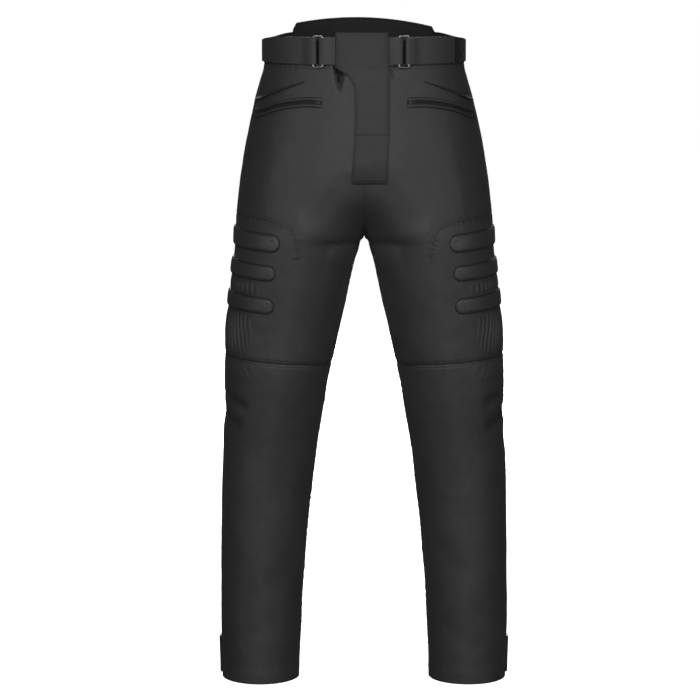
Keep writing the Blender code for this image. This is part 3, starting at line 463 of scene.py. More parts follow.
class Finish:
    # a material that is built from nodes
    def __init__(self, name, settings):
        self.material = bpy.data.materials.new(name)
        self.material.use_nodes = True
        self.tree = self.material.node_tree
        self.shader = self.tree.nodes["Principled BSDF"]
        for socket, value in settings.items():
            self.shader.inputs[socket].default_value = value

    def node(self, kind, settings=None, inputs=None, output=0):
        made = self.tree.nodes.new(kind)
        for key, value in (settings or {}).items():
            setattr(made, key, value)
        for key, value in (inputs or {}).items():
            plug(self.tree, made.inputs[key], value)
        return Wire(self.tree, made.outputs[output])

    def objectPlace(self, scale=(1, 1, 1)):
        place = self.node("ShaderNodeTexCoord", output="Object")
        return self.node("ShaderNodeMapping", inputs={"Vector": place, "Scale": scale})

    def clothPlace(self, scale=(1, 1, 1)):
        place = self.node("ShaderNodeUVMap", {"uv_map": "UVMap"})
        return self.node("ShaderNodeMapping", inputs={"Vector": place, "Scale": scale})

    def clothAxes(self):
        # how far a place lies across the cloth and up it, in metres
        across = self.node("ShaderNodeSeparateXYZ", inputs={"Vector": self.clothPlace()})
        return across, Wire(self.tree, across.socket.node.outputs["Y"])

    def stored(self, name):
        # a number that each point of the mesh carries
        return self.node("ShaderNodeAttribute", {"attribute_name": name}, output="Fac")

    def cloud(self, place, scale, detail=2.0, roughness=0.5):
        return self.node("ShaderNodeTexNoise", inputs={
            "Vector": place, "Scale": scale, "Detail": detail, "Roughness": roughness})

    def blend(self, share, first, second):
        made = self.tree.nodes.new("ShaderNodeMix")
        made.data_type = "RGBA"
        plug(self.tree, made.inputs["Factor"], share)
        plug(self.tree, made.inputs[6], first)
        plug(self.tree, made.inputs[7], second)
        return Wire(self.tree, made.outputs[2])

    def finish(self, colour, roughness, height=None):
        # height is in millimetres
        plug(self.tree, self.shader.inputs["Base Color"], colour)
        plug(self.tree, self.shader.inputs["Roughness"], roughness)
        if height is not None:
            bump = self.node("ShaderNodeBump", inputs={"Height": height, "Distance": 0.001})
            plug(self.tree, self.shader.inputs["Normal"], bump)
        return self.material


def grey(tone, warmth=0.0):
    return (tone * (1 + warmth), tone, tone * (1 - warmth), 1.0)


clothLook = {
    "tone": 0.030, "warmth": 0.01, "roughness": 0.56, "gloss": 0.42, "sheen": 0.05,
    "darkest": 0.45, "lightest": 1.45,                 # times the tone
    "thread": 0.0010, "weave": 0.10, "weaveDepth": 0.035,
    "yarn": 0.22, "pick": 0.12, "yarnScale": 900, "yarnStretch": 0.04, "yarnDepth": 0.03,
    "mottle": 0.25, "mottleScale": 11, "crumple": 0.30, "crumpleScale": 46, "liftLightAndShade": 40.0,
    # edge and stitchShade set the painted shade along seams, edges and stitch grooves
    "edge": 0.30, "edgeWidth": 0.0022,
    "stitchFrom": 0.0048, "stitchWidth": 0.0011, "stitchShade": 0.12, "stitchDepth": 0.30,
}


def wovenCloth(name, **changes):
    look = {**clothLook, **changes}
    cloth = Finish(name, {
        "Specular IOR Level": look["gloss"],
        "Sheen Weight": look["sheen"],
        "Sheen Roughness": 0.45,
        "Sheen Tint": (0.80, 0.82, 0.86, 1.0),
    })
    across, up = cloth.clothAxes()
    beat = pi / look["thread"]
    weave = (across * beat).wave() * (up * beat).wave()
    stretch = look["yarnStretch"]
    yarn = cloth.cloud(cloth.clothPlace((1, stretch, 1)), look["yarnScale"], 2)
    pick = cloth.cloud(cloth.clothPlace((stretch, 1, 1)), look["yarnScale"], 2)
    mottle = cloth.cloud(cloth.objectPlace(), look["mottleScale"], 3, 0.6)
    crumple = cloth.cloud(cloth.objectPlace((1, 1, 0.7)), look["crumpleScale"], 4, 0.55)
    seam = cloth.stored("seam")
    # painted shade: darker along seams and edges and in the stitch grooves
    groove = seam.bell(look["stitchFrom"], look["stitchWidth"])
    edge = seam.bell(0.0, look["edgeWidth"])
    shade = (mottle - 0.5) * look["mottle"] + (yarn - 0.5) * look["yarn"]
    shade = shade + (pick - 0.5) * look["pick"] + weave * look["weave"]
    # painted light and shade from the lift value: darker in creases, dips, seam valleys, gaps and
    # where painted shade is added, lighter on raised places
    shade = shade + cloth.stored("lift") * look["liftLightAndShade"]
    shade = shade - edge * look["edge"] - groove * look["stitchShade"]
    shade = (shade + 0.5).maths("MAXIMUM", 0.0).maths("MINIMUM", 1.0)
    colour = cloth.blend(shade, grey(look["tone"] * look["darkest"], look["warmth"]),
                         grey(look["tone"] * look["lightest"], look["warmth"]))
    roughness = look["roughness"] + (mottle - 0.5) * 0.10 - (yarn - 0.5) * 0.10 - weave * 0.03
    height = weave * look["weaveDepth"] + crumple * look["crumple"]
    height = height - groove * look["stitchDepth"] + yarn * look["yarnDepth"]
    return cloth.finish(colour, roughness, height)


shellCloth = wovenCloth("shell cloth")
panelCloth = wovenCloth("knee panel cloth", tone=0.0295, roughness=0.58)
# the rib's strong edge value is painted shade round its outline
ribCloth = wovenCloth("rib cloth", tone=0.034, roughness=0.52, crumple=0.15, edge=0.70,
                      edgeWidth=0.0016, stitchFrom=0.0030)
bandCloth = wovenCloth("band cloth", tone=0.029, stitchFrom=0.0040)
flapCloth = wovenCloth("flap cloth", tone=0.0285, roughness=0.62, darkest=0.20,
                       stitchFrom=0.0036)
tabCloth = wovenCloth("hem tab cloth", edge=0.12, stitchFrom=0.0040)
backBandCloth = wovenCloth("back band cloth", tone=0.016, roughness=0.72, gloss=0.25,
                           stitchFrom=0.0040)
zipTape = wovenCloth("zip tape", tone=0.008, thread=0.0007, gloss=0.25)


def backingMesh(name):
    # the mesh backing inside: small round holes in a dark knit
    knit = Finish(name, {"Specular IOR Level": 0.2, "Sheen Weight": 0.05})
    across, up = knit.clothAxes()
    hole = ((across * (pi / 0.0018)).wave() * (up * (pi / 0.0022)).wave()).size()
    mottle = knit.cloud(knit.objectPlace(), 18, 2)
    colour = knit.blend(hole * 0.6 + mottle * 0.4, grey(0.014), grey(0.005))
    return knit.finish(colour, 0.78 + mottle * 0.1, hole * -0.25)


def webbing(name, tone, roughness):
    # ribbed lengthwise with a fine weft across
    strap = Finish(name, {"Specular IOR Level": 0.45, "Sheen Weight": 0.05})
    across, up = strap.clothAxes()
    rib = (up * (2 * pi / 0.0026)).wave()
    weft = (across * (2 * pi / 0.0011)).wave() * (up * (pi / 0.0026)).wave()
    mottle = strap.cloud(strap.objectPlace(), 30, 3)
    shade = rib * 0.05 + weft * 0.12 + (mottle - 0.5) * 0.3 + 0.5
    colour = strap.blend(shade, grey(tone * 0.6), grey(tone * 1.4))
    return strap.finish(colour, roughness + (mottle - 0.5) * 0.12, rib * 0.03 + weft * 0.04)


def hookTape(name):
    # the loop side of the strap's fastening: short dark nap; on the band under the strap and in the
    # ring's slot it is painted shadow
    tape = Finish(name, {"Specular IOR Level": 0.15, "Sheen Weight": 0.10})
    nap = tape.cloud(tape.objectPlace(), 1400, 2, 0.7)
    patch = tape.cloud(tape.objectPlace(), 120, 3)
    colour = tape.blend(nap * 0.7 + patch * 0.3, grey(0.001), grey(0.005))
    return tape.finish(colour, 0.9, nap * 0.3)


def castMetal(name, tone, roughness):
    metal = Finish(name, {"Metallic": 1.0})
    brushed = metal.cloud(metal.objectPlace((1, 1, 12)), 260, 3)
    worn = metal.cloud(metal.objectPlace(), 60, 4, 0.65)
    colour = metal.blend(worn, grey(tone * 0.75), grey(tone * 1.2))
    return metal.finish(colour, roughness + (brushed - 0.5) * 0.2, brushed * 0.03 + worn * 0.03)


def threadFinish(name, tone):
    thread = Finish(name, {"Specular IOR Level": 0.5})
    twist = thread.cloud(thread.objectPlace(), 2200, 1)
    drift = thread.cloud(thread.objectPlace(), 14, 2)
    colour = thread.blend(drift, grey(tone * 0.7), grey(tone * 1.3))
    return thread.finish(colour, 0.42 + twist * 0.1, twist * 0.1)


def zipMetal(name):
    coil = Finish(name, {"Specular IOR Level": 0.5})
    drift = coil.cloud(coil.objectPlace(), 200, 2)
    return coil.finish(coil.blend(drift, grey(0.008), grey(0.020)), 0.35 + drift * 0.2, drift * 0.02)


backing = backingMesh("mesh backing")
strapWebbing = webbing("strap webbing", 0.025, 0.56)
loopTape = hookTape("loop tape")
ringMetal = castMetal("ring metal", 0.30, 0.36)
seamThread = threadFinish("seam thread", 0.026)
zipCoil = zipMetal("zip coil")
print("materials made")


# Cloth pieces
allPieces = {}


def deselectAll():
    bpy.ops.object.select_all(action="DESELECT")


def gridPiece(name, across, down, finishes):
    # a flat grid that is then shaped; returns its object and the cell place of each point
    deselectAll()
    bpy.ops.mesh.primitive_grid_add(x_subdivisions=across, y_subdivisions=down, size=2)
    piece = bpy.context.object
    piece.name = name
    piece.data.name = name
    flat = np.empty(len(piece.data.vertices) * 3)
    piece.data.vertices.foreach_get("co", flat)
    flat = flat.reshape(-1, 3)
    column = np.rint((flat[:, 0] + 1) / 2 * across).astype(int)
    row = np.rint((1 - flat[:, 1]) / 2 * down).astype(int)
    for finish in finishes:
        piece.data.materials.append(finish)
    allPieces[name] = piece
    return piece, column, row


def setUv(mesh, pointUv):
    corners = np.empty(len(mesh.loops), int)
    mesh.loops.foreach_get("vertex_index", corners)
    mesh.uv_layers.active.data.foreach_set("uv", pointUv[corners].astype(np.float32).ravel())


def setPlace(mesh, points):
    mesh.vertices.foreach_set("co", np.asarray(points, np.float32).ravel())
    mesh.update()


def pointValue(mesh, name, values):
    layer = mesh.attributes.new(name, "FLOAT", "POINT")
    layer.data.foreach_set("value", np.asarray(values, np.float32))


def faceOut(piece, normals):
    # turns the faces so that they point away from the wearer
    mesh = piece.data
    facing = sum(Vector(normals[face.vertices[0]]).dot(face.normal) for face in mesh.polygons)
    if facing < 0:
        mesh.flip_normals()
    mesh.shade_smooth()


def thicken(piece, thickness, insideSlot=0):
    # border edges are sharp, so that the rim doesn't shade the face beside it
    mesh = piece.data
    edgeOf = np.empty(len(mesh.loops), int)
    mesh.loops.foreach_get("edge_index", edgeOf)
    mesh.edges.foreach_set("use_edge_sharp", np.bincount(edgeOf, minlength=len(mesh.edges)) == 1)
    wall = piece.modifiers.new("thickness", "SOLIDIFY")
    wall.thickness = thickness
    wall.offset = -1
    wall.use_rim = True
    wall.material_offset = insideSlot


def dress(piece, points, normals, uv, seam, lift, thickness, insideSlot=0):
    # places the piece, gives its cloth what it reads, and makes it a wall
    mesh = piece.data
    setPlace(mesh, points)
    setUv(mesh, np.stack(uv, axis=1))
    pointValue(mesh, "seam", seam)
    pointValue(mesh, "lift", lift)
    faceOut(piece, normals)
    thicken(piece, thickness, insideSlot)


def mirrorX(side, values):
    out = np.array(values, float)
    out[..., 0] *= signs[side]
    return out


def overTo(x):
    # factors that carry places of the half at +X over to the side that each x is on
    ones = np.ones(len(x))
    return np.stack([np.where(x < 0, -1.0, 1.0), ones, ones], axis=1)


def borderWalk(mesh):
    # border points in order, with their distance along it
    shape = bmesh.new()
    shape.from_mesh(mesh)
    shape.verts.ensure_lookup_table()
    following = {}
    for edge in shape.edges:
        if edge.is_boundary:
            for vert, other in (edge.verts, reversed(edge.verts)):
                following.setdefault(vert.index, []).append(other.index)
    ordered = []
    left = set(following)
    while left:
        here = left.pop()
        distance = 0.0
        ordered.append((here, distance))
        while True:
            ahead = [n for n in following[here] if n in left]
            if not ahead:
                break
            step = (shape.verts[ahead[0]].co - shape.verts[here].co).length
            distance += step
            here = ahead[0]
            left.discard(here)
            ordered.append((here, distance))
    shape.free()
    return ordered


def seamDistance(mesh, points, skip):
    # distance to the nearest seam and the place along that seam, for each point
    ordered = [(index, along) for index, along in borderWalk(mesh) if not skip[index]]
    tree = kdtree.KDTree(len(ordered))
    for number, (index, along) in enumerate(ordered):
        tree.insert(points[index], number)
    tree.balance()
    away = np.empty(len(points))
    along = np.empty(len(points))
    for k, point in enumerate(points):
        place, number, distance = tree.find(point)
        away[k] = distance
        along[k] = ordered[number][1]
    return away, along


panelSizes = {
    "cloth": 0.0022,          # thickness
    "seamValley": 0.0007,     # how far an edge turns in at its seam
    "seamWidth": 0.0024,
    "kneeValley": 0.0008,     # the seam over the knee lies deeper
    "hidden": 0.02,           # a seam that can't be seen counts as this far off
    "centre": 0.0035, "centreWidth": 0.012,           # and the centre seam as this far
    "secondRow": 0.0095,      # from the knee panel's edge to the second row of stitches
    "secondRowDepth": 0.0005, "secondRowWidth": 0.0018,
    "puckerPitch": 0.011, "puckerReach": 0.008, "puckerDrift": 1.3, "driftScale": 31,
    "puckerShare": 0.45, "puckerSpread": 1.4,
    "ripple": 0.0010, "rippleSize": 0.075,
    "crumple": 0.00035, "crumpleSize": 0.020,
    "hemHeight": 0.024, "hemStep": 0.0015, "hemLift": 0.0006,
    "kneeShade": 0.0075, "kneeShadeWidth": 0.0019,    # a dark line at the knee seam, which
    "kneeShadeFrom": 0.66, "kneeShadeRun": 0.12,      # is weaker toward the side
    "gapShadowDepth": 0.0048,        # deeper than this the gap takes the dark backing, as painted shadow
}
gapTable = {                  # the gap beside the tab: middle, top, bottom, width and depth
    "left": (0.0410, -0.022, -0.066, 0.0085, 0.0085),
    "right": (0.0470, -0.022, -0.046, 0.0070, 0.0035),
}
gapSizes = {"narrowing": 0.8, "rim": 0.003, "rimRun": 0.004, "above": 0.004, "shallowing": 0.3}
hiddenSizes = {"width": 0.014, "top": -0.335, "topRun": 0.020, "bottom": -0.505,
               "bottomRun": 0.012}
yokeSizes = {"fromX": 0.080, "xRun": 0.010, "bottom": -0.360, "bottomRun": 0.015, "top": -0.240}
puckerSizes = {"kneePerColumn": 2.6, "kneeWander": 1.1, "shinPitch": 0.0072, "shinWander": 0.8}


def fineSteps(first, last, perStep):
    # places between two whole numbers, with perStep of them to each step
    return np.linspace(first, last, (last - first) * perStep + 1)


def gapBesideTab(side, height, x):
    # the cloth drops away behind the tab's lower corner
    s = gapSizes
    middle, top, bottom, width, depth = gapTable[side]
    down = np.clip((top - height) / (top - bottom), 0, 1)
    half = width * (1 - down) ** s["narrowing"]
    inside = smoothStep((half - np.abs(x - middle) + s["rim"]) / s["rimRun"])
    between = (height < top + s["above"]) & (height > bottom)
    return -depth * inside * (1 - down) ** s["shallowing"] * between


def hiddenSeam(x, height):
    # the knee panel's inner seam can't be seen below the ribs
    s = hiddenSizes
    near = bell(x - readTable(yokeSeam, 1, height), s["width"])
    fromTop = smoothStep((s["top"] - height) / s["topRun"])
    return near * fromTop * smoothStep((height - s["bottom"]) / s["bottomRun"])


def cutCells(mesh, column, row, cut):
    # takes cells out of a grid and returns the numbers of the points that stay
    shape = bmesh.new()
    shape.from_mesh(mesh)
    gone, kept = [], set()
    for face in shape.faces:
        numbers = [vert.index for vert in face.verts]
        if cut(column[numbers].mean(), row[numbers].mean()):
            gone.append(face)
        else:
            kept.update(numbers)
    bmesh.ops.delete(shape, geom=gone, context="FACES")
    shape.to_mesh(mesh)
    shape.free()
    return sorted(kept)


Spots = namedtuple("Spots", "side column around height points away")


def legPanel(name, side, columns, rows, finish, pucker, cut=None, extra=None):
    # a panel on the leg's columns and rows; cut tells which cells are left out
    s = panelSizes
    piece, columnNumber, rowNumber = gridPiece(name, len(columns) - 1, len(rows) - 1,
                                               [finish, backing])
    mesh = piece.data
    column = columns[columnNumber]
    row = rows[rowNumber]
    if cut is not None:
        kept = cutCells(mesh, column, row, cut)
        column = column[kept]
        row = row[kept]
    height = rowHeight(column, row)
    around = columnAround(column, height)
    points, normals = shellAt(around, height)
    setPlace(mesh, points)
    away, along = seamDistance(mesh, points, row >= hemRow - 1e-6)
    away = away + s["hidden"] * hiddenSeam(points[:, 0], height) * (column < sideColumn - 1)
    centreSeam = bell(points[:, 0], s["centreWidth"]) * (height > form["fork"])
    away = away + s["centre"] * centreSeam * (column < sideColumn)
    lift = creaseLift(side, around, height)
    lift += rippleLift(points, s["rippleSize"], s["ripple"], signs[side] + 3)
    lift += rippleLift(points, s["crumpleSize"], s["crumple"], signs[side] + 7)
    if extra is not None:
        lift += extra(Spots(side, column, around, height, points, away))
    lift -= s["seamValley"] * bell(away, s["seamWidth"])
    fromKnee = height - rowHeight(column, np.full(len(column), float(kneeRow)))
    lift -= s["kneeValley"] * bell(fromKnee, s["seamWidth"])
    drift = np.array([noise.noise(Vector((place * s["driftScale"], signs[side], 2.0)))
                      for place in along])
    wave = np.sin(2 * pi * (along / s["puckerPitch"] + s["puckerDrift"] * drift))
    gate = np.clip(s["puckerShare"] + s["puckerSpread"] * drift, 0, 1)
    lift += pucker * wave * gate * bell(away, s["puckerReach"])
    hemTurn = np.clip((form["hem"] + s["hemHeight"] - height) / s["hemStep"], 0, 1)
    lift += s["hemLift"] * hemTurn
    points = points + normals * lift[:, None]
    # painted shade beside the pockets and tucks and along the knee seam, carried into the cloth by
    # the lift value
    paintedShade = paintedPocketShade(np.abs(points[:, 0]), height)
    towardSide = smoothStep((around - s["kneeShadeFrom"]) / s["kneeShadeRun"])
    paintedShade += s["kneeShade"] * bell(fromKnee, s["kneeShadeWidth"]) * (1 - 0.7 * towardSide)
    paintedShade *= column < sideColumn + 0.01
    dress(piece, mirrorX(side, points), mirrorX(side, normals),
          (walkOf(around, height) * signs[side], height), away,
          lift - s["hemLift"] * hemTurn - paintedShade, s["cloth"], insideSlot=1)
    # painted shadow: the deepest faces of the gap beside the tab take the dark backing material
    if name.startswith("thighFront"):
        deep = gapBesideTab(side, height, points[:, 0]) < -s["gapShadowDepth"]
        for face in mesh.polygons:
            if all(deep[number] for number in face.vertices):
                face.material_index = 1


pocketLine = [(0.1740, -0.1068), (0.1400, -0.0927), (0.1120, -0.0866), (0.0880, -0.0842),
              (0.0684, -0.0852)]
tuckLine = [(0.1735, -0.0828), (0.1350, -0.0662), (0.0960, -0.0518)]


# painted shade beside the pockets and tucks
paintedPocketShadeTable = [(pocketLine, 0.0085, 0.0075), (tuckLine, 0.0055, 0.0090)]    # width, depth
paintedPocketShadeSizes = {"below": 0.35, "fromX": 0.120, "xRun": 0.045}


def paintedPocketShade(x, height):
    # painted shade beside the outer ends of the pockets and tucks, a little below their lines
    total = np.zeros(len(x))
    outward = smoothStep((x - paintedPocketShadeSizes["fromX"]) / paintedPocketShadeSizes["xRun"])
    for table, width, depth in paintedPocketShadeTable:
        below = height - readTable(table, 1, x) + paintedPocketShadeSizes["below"] * width
        total += depth * bell(below, width) * outward
    return total


def thighExtra(spots):
    # the gap beside the tab, and a second row of stitches round the knee panel's corner
    s = yokeSizes
    x = spots.points[:, 0]
    nearPanel = smoothStep((x - s["fromX"]) / s["xRun"])
    nearPanel = nearPanel * smoothStep((spots.height - s["bottom"]) / s["bottomRun"])
    nearPanel = nearPanel * (spots.height < s["top"])
    secondRow = bell(spots.away - panelSizes["secondRow"], panelSizes["secondRowWidth"])
    gap = gapBesideTab(spots.side, spots.height, x)
    return gap - panelSizes["secondRowDepth"] * (secondRow * nearPanel)


def wander(points, across, seed):
    # makes puckers run a little unevenly
    return np.array([noise.noise(Vector((p[0] * across, p[2] * 9, seed))) for p in points])


def kneeExtra(spots):
    phase = (spots.column - yokeColumn) * puckerSizes["kneePerColumn"]
    phase = phase + puckerSizes["kneeWander"] * wander(spots.points, 25, 4.0)
    return gatherLift(gathers, spots.around, spots.height, phase)


def shinExtra(spots):
    phase = walkOf(spots.around, spots.height) / puckerSizes["shinPitch"]
    phase = phase + puckerSizes["shinWander"] * wander(spots.points, 40, 8.0)
    return gatherLift(shinGathers, spots.around, spots.height, phase)


def insideKneePanel(column, row):
    return column > yokeColumn and yokeRow < row < kneeRow


legSizes = {"perColumn": 6, "perRow": 6, "kneePerColumn": 13, "kneePerRow": 8,
            "fineFrom": 28, "perLowRow": 11,
            "pucker": {"thigh": 0.0005, "knee": 0.0006, "shinFront": 0.0010, "shinBack": 0.0006}}
for side in signs:
    s = legSizes
    pucker = s["pucker"]
    front = fineSteps(0, sideColumn, s["perColumn"])
    behind = fineSteps(sideColumn, backColumn, s["perColumn"] + 1)
    thighRows = fineSteps(0, kneeRow, s["perRow"])
    shinRows = np.concatenate([fineSteps(kneeRow, s["fineFrom"], s["perRow"])[:-1],
                               fineSteps(s["fineFrom"], hemRow, s["perLowRow"])])
    kneeColumns = fineSteps(yokeColumn, sideColumn, s["kneePerColumn"])
    kneeRows = fineSteps(yokeRow, kneeRow, s["kneePerRow"])
    legPanel(f"thighFront.{side}", side, front, thighRows, shellCloth, pucker["thigh"],
             cut=insideKneePanel, extra=thighExtra)
    legPanel(f"kneePanel.{side}", side, kneeColumns, kneeRows, panelCloth, pucker["knee"],
             extra=kneeExtra)
    legPanel(f"shinFront.{side}", side, front, shinRows, shellCloth, pucker["shinFront"],
             extra=shinExtra)
    legPanel(f"thighBack.{side}", side, behind, thighRows, shellCloth, pucker["thigh"])
    legPanel(f"shinBack.{side}", side, behind, shinRows, shellCloth, pucker["shinBack"])
print("leg panels made")


# The waistband
bandSizes = {"frontColumns": 84, "backColumns": 200, "rows": 16, "thickness": 0.0030,
             "gap": 0.0003, "edgeRoll": 0.0007, "edgeWidth": 0.0022,
             "shadowFrom": {"left": 0.26, "right": 0.21}, "shadowTo": 0.992, "shadowInset": 0.0030}
backBand = {"plainTop": 0.0190, "stepX": 0.1170, "step": 0.0080, "stepRun": 0.0060,
            "arch": 0.0150, "archMiddle": -0.0150}


def frontBandTop(around):
    share = (around - form["bandDipFrom"]) / (1 - form["bandDipFrom"])
    return form["bandTop"] - form["bandDip"] * smoothStep(share)


def backBandTop(x):
    rise = backBand["step"] * smoothStep((backBand["stepX"] - np.abs(x)) / backBand["stepRun"])
    span = backBand["stepX"] + abs(backBand["archMiddle"])
    arch = np.maximum(1 - ((x - backBand["archMiddle"]) / span) ** 2, 0.0)
    sideTop = form["bandTop"] - form["bandDip"]
    toSide = smoothStep((np.abs(x) - backBand["stepX"]) / (waistHalf - backBand["stepX"]))
    plain = backBand["plainTop"] + (sideTop - backBand["plainTop"]) * toSide
    return plain + rise + backBand["arch"] * arch * (rise > 0)


def bandPiece(name, sideList, around, top, finishes, seed):
    # columns of places round the waist; sideList holds -1 or 1 for each of them
    columns = len(around)
    rows = bandSizes["rows"]
    piece, columnNumber, rowNumber = gridPiece(name, columns - 1, rows, finishes)
    share = rowNumber / rows
    bottom = form["bandBottom"] + bandSizes["gap"]
    height = top[columnNumber] + (bottom - top[columnNumber]) * share
    points, normals = shellAt(around[columnNumber], height)
    fromTop = top[columnNumber] - height
    fromBottom = height - form["bandBottom"]
    lift = np.full(len(points), form["bandProud"])
    nearEdge = np.minimum(fromTop, fromBottom)
    lift -= bandSizes["edgeRoll"] * bell(nearEdge, bandSizes["edgeWidth"])
    lift += rippleLift(points, 0.035, 0.0005, seed)
    points = points + normals * lift[:, None]
    facing = overTo(sideList[columnNumber])
    walk = walkOf(around[columnNumber], height) * sideList[columnNumber]
    dress(piece, points * facing, normals * facing, (walk, height), nearEdge,
          lift - form["bandProud"], bandSizes["thickness"])
    return piece, around[columnNumber], height


for side in signs:
    ends = bandSizes["gap"] / 2 / sideWalkAt(0.0)
    around = np.linspace(ends, 1 - ends, bandSizes["frontColumns"] + 1)
    sideList = np.full(len(around), float(signs[side]))
    band, placeAround, placeHeight = bandPiece(
        f"waistbandFront.{side}", sideList, around, frontBandTop(around),
        [bandCloth, loopTape], 11 + signs[side])
    # painted shadow: the band's faces under the strap and ring loop and in the ring's slot take the
    # dark loop tape
    shadowTop = frontBandTop(placeAround) - bandSizes["shadowInset"]
    shadowBottom = form["bandBottom"] + bandSizes["shadowInset"]
    underStrapShadow = ((placeAround > bandSizes["shadowFrom"][side]) & (placeAround < bandSizes["shadowTo"])
              & (placeHeight < shadowTop) & (placeHeight > shadowBottom))
    for face in band.data.polygons:
        if all(underStrapShadow[number] for number in face.vertices):
            face.material_index = 1
half = np.linspace(1 + 0.0002, 2, bandSizes["backColumns"] // 2 + 1)
around = np.concatenate([half, half[-2::-1]])
sideList = np.concatenate([np.full(len(half), -1.0), np.full(len(half) - 1, 1.0)])
backX = shellAt(around, np.zeros(len(around)))[0][:, 0] * sideList
bandPiece("waistbandBack", sideList, around, backBandTop(backX), [backBandCloth], 17)
print("waistband made")


# The closure tab and fly flap
flapTable = [                    # height, left edge, right edge, seen from the front
    (0.0277, -0.0463, 0.0367), (0.0100, -0.0463, 0.0372), (-0.0080, -0.0463, 0.0380),
    (-0.0280, -0.0463, 0.0395), (-0.0335, -0.0400, 0.0399), (-0.0380, -0.0315, 0.0399),
    (-0.0460, -0.0235, 0.0399), (-0.0560, -0.0185, 0.0399), (-0.0680, -0.0160, 0.0399),
    (-0.0900, -0.0157, 0.0399), (-0.1140, -0.0157, 0.0399), (-0.1372, -0.0160, 0.0399),
    (-0.1640, -0.0178, 0.0388), (-0.1900, -0.0196, 0.0377), (-0.2143, -0.0209, 0.0369),
]
flapSizes = {"columns": 34, "rows": 120, "thickness": 0.0023, "overBand": -0.0350,
             "onBandRun": 0.018, "bandLift": 0.0013, "lift": 0.0009, "edgeRoll": 0.0010,
             "edgeWidth": 0.0018, "crossSeam": -0.1372, "seamDepth": 0.0010,
             "belowSeam": 0.0006, "shade": 0.0105, "shadeFrom": -0.172, "shadeRun": 0.034}
flapTop, flapBottom = flapTable[0][0], flapTable[-1][0]


def flapEdges(height):
    return readTable(flapTable, 1, height), readTable(flapTable, 2, height)


def makeFlap():
    s = flapSizes
    columns, rows = s["columns"], s["rows"]
    piece, columnNumber, rowNumber = gridPiece("closureFlap", columns, rows, [flapCloth])
    heights = np.interp(np.linspace(0, 1, rows + 1), [0, 0.22, 0.42, 1],
                        [flapTop, -0.0280, -0.0600, flapBottom])
    height = heights[rowNumber]
    left, right = flapEdges(height)
    x = left + (right - left) * (columnNumber / columns)
    points, normals = shellAt(aroundOfX(x, height), height)
    points = points * overTo(x)
    normals = normals * overTo(x)
    onBand = smoothStep((height - s["overBand"]) / s["onBandRun"])
    lift = s["lift"] + (s["bandLift"] - s["lift"]) * onBand + s["thickness"]
    nearEdge = np.minimum(np.minimum(x - left, right - x), flapTop - height)
    nearEdge = np.minimum(nearEdge, height - flapBottom)
    lift -= s["edgeRoll"] * bell(nearEdge, s["edgeWidth"])
    lift -= s["seamDepth"] * bell(height - s["crossSeam"], s["edgeWidth"])
    lift -= s["belowSeam"] * (height < s["crossSeam"])
    lift += rippleLift(points, 0.045, 0.0008, 23) + rippleLift(points, 0.016, 0.0003, 29)
    shade = s["shade"] * smoothStep((s["shadeFrom"] - height) / s["shadeRun"])
    dress(piece, points + normals * lift[:, None], normals, (x, height), nearEdge, -shade,
          s["thickness"] - 0.0001)


makeFlap()
print("closure flap made")


# Strips that lie on a panel: pocket lips, zips, tucks and hem tabs
def stripPiece(name, side, around, height, breadth, liftAt, rows, finishes, thickness):
    # around and height follow the strip's middle line; breadth is its width at each place
    piece, columnNumber, rowNumber = gridPiece(name, len(around) - 1, rows, finishes)
    pastSide = (around - 1) * sideWalkAt(height)
    runX = np.gradient(pastSide)
    runY = np.gradient(height)
    size = np.hypot(runX, runY)
    v = 1 - 2 * rowNumber / rows
    offset = v * breadth[columnNumber] / 2
    spotHeight = height[columnNumber] + (runX / size)[columnNumber] * offset
    spotPast = pastSide[columnNumber] - (runY / size)[columnNumber] * offset
    spotAround = 1 + spotPast / sideWalkAt(spotHeight)
    points, normals = shellAt(spotAround, spotHeight)
    u = columnNumber / (len(around) - 1)
    lift = liftAt(u, v) + creaseLift(side, spotAround, spotHeight)
    walked = runningSum(np.hypot(np.diff(pastSide), np.diff(height)))
    fromEnds = np.minimum(walked[columnNumber], walked[-1] - walked[columnNumber])
    fromEdge = np.minimum(breadth[columnNumber] / 2 - np.abs(offset), fromEnds)
    dress(piece, mirrorX(side, points + normals * lift[:, None]), mirrorX(side, normals),
          (walked[columnNumber], offset), fromEdge, np.zeros(len(u)), thickness)
    return piece


def frontLine(table, count, shift=0.0):
    # a line from a table of x and height seen from the front, moved up by a shift
    x = np.linspace(table[-1][0], table[0][0], count + 1)
    height = readTable(table, 1, x) + shift
    return aroundOfX(x, height), height


pocketSizes = {"lipBreadth": 0.0066, "lipHeight": 0.0032, "lipLift": 0.0007,
               "lipOffset": 0.0050,
               "tapeBreadth": 0.0040, "tapeLift": 0.0008, "columns": 60, "rows": 8}
tuckSizes = {"breadth": 0.0080, "height": 0.0040, "lift": 0.0005, "columns": 44, "rows": 8}


def lipLift(u, v):
    start = np.clip(0.25 + u * 9, 0, 1)
    return pocketSizes["lipLift"] + pocketSizes["lipHeight"] * dome(v) * start


def tuckLift(u, v):
    # flat along its upper edge, standing up along its lower one
    profile = np.clip((1 - v) / 2, 0, 1) ** 1.3
    return tuckSizes["lift"] + tuckSizes["height"] * (0.15 + 0.85 * u) * profile


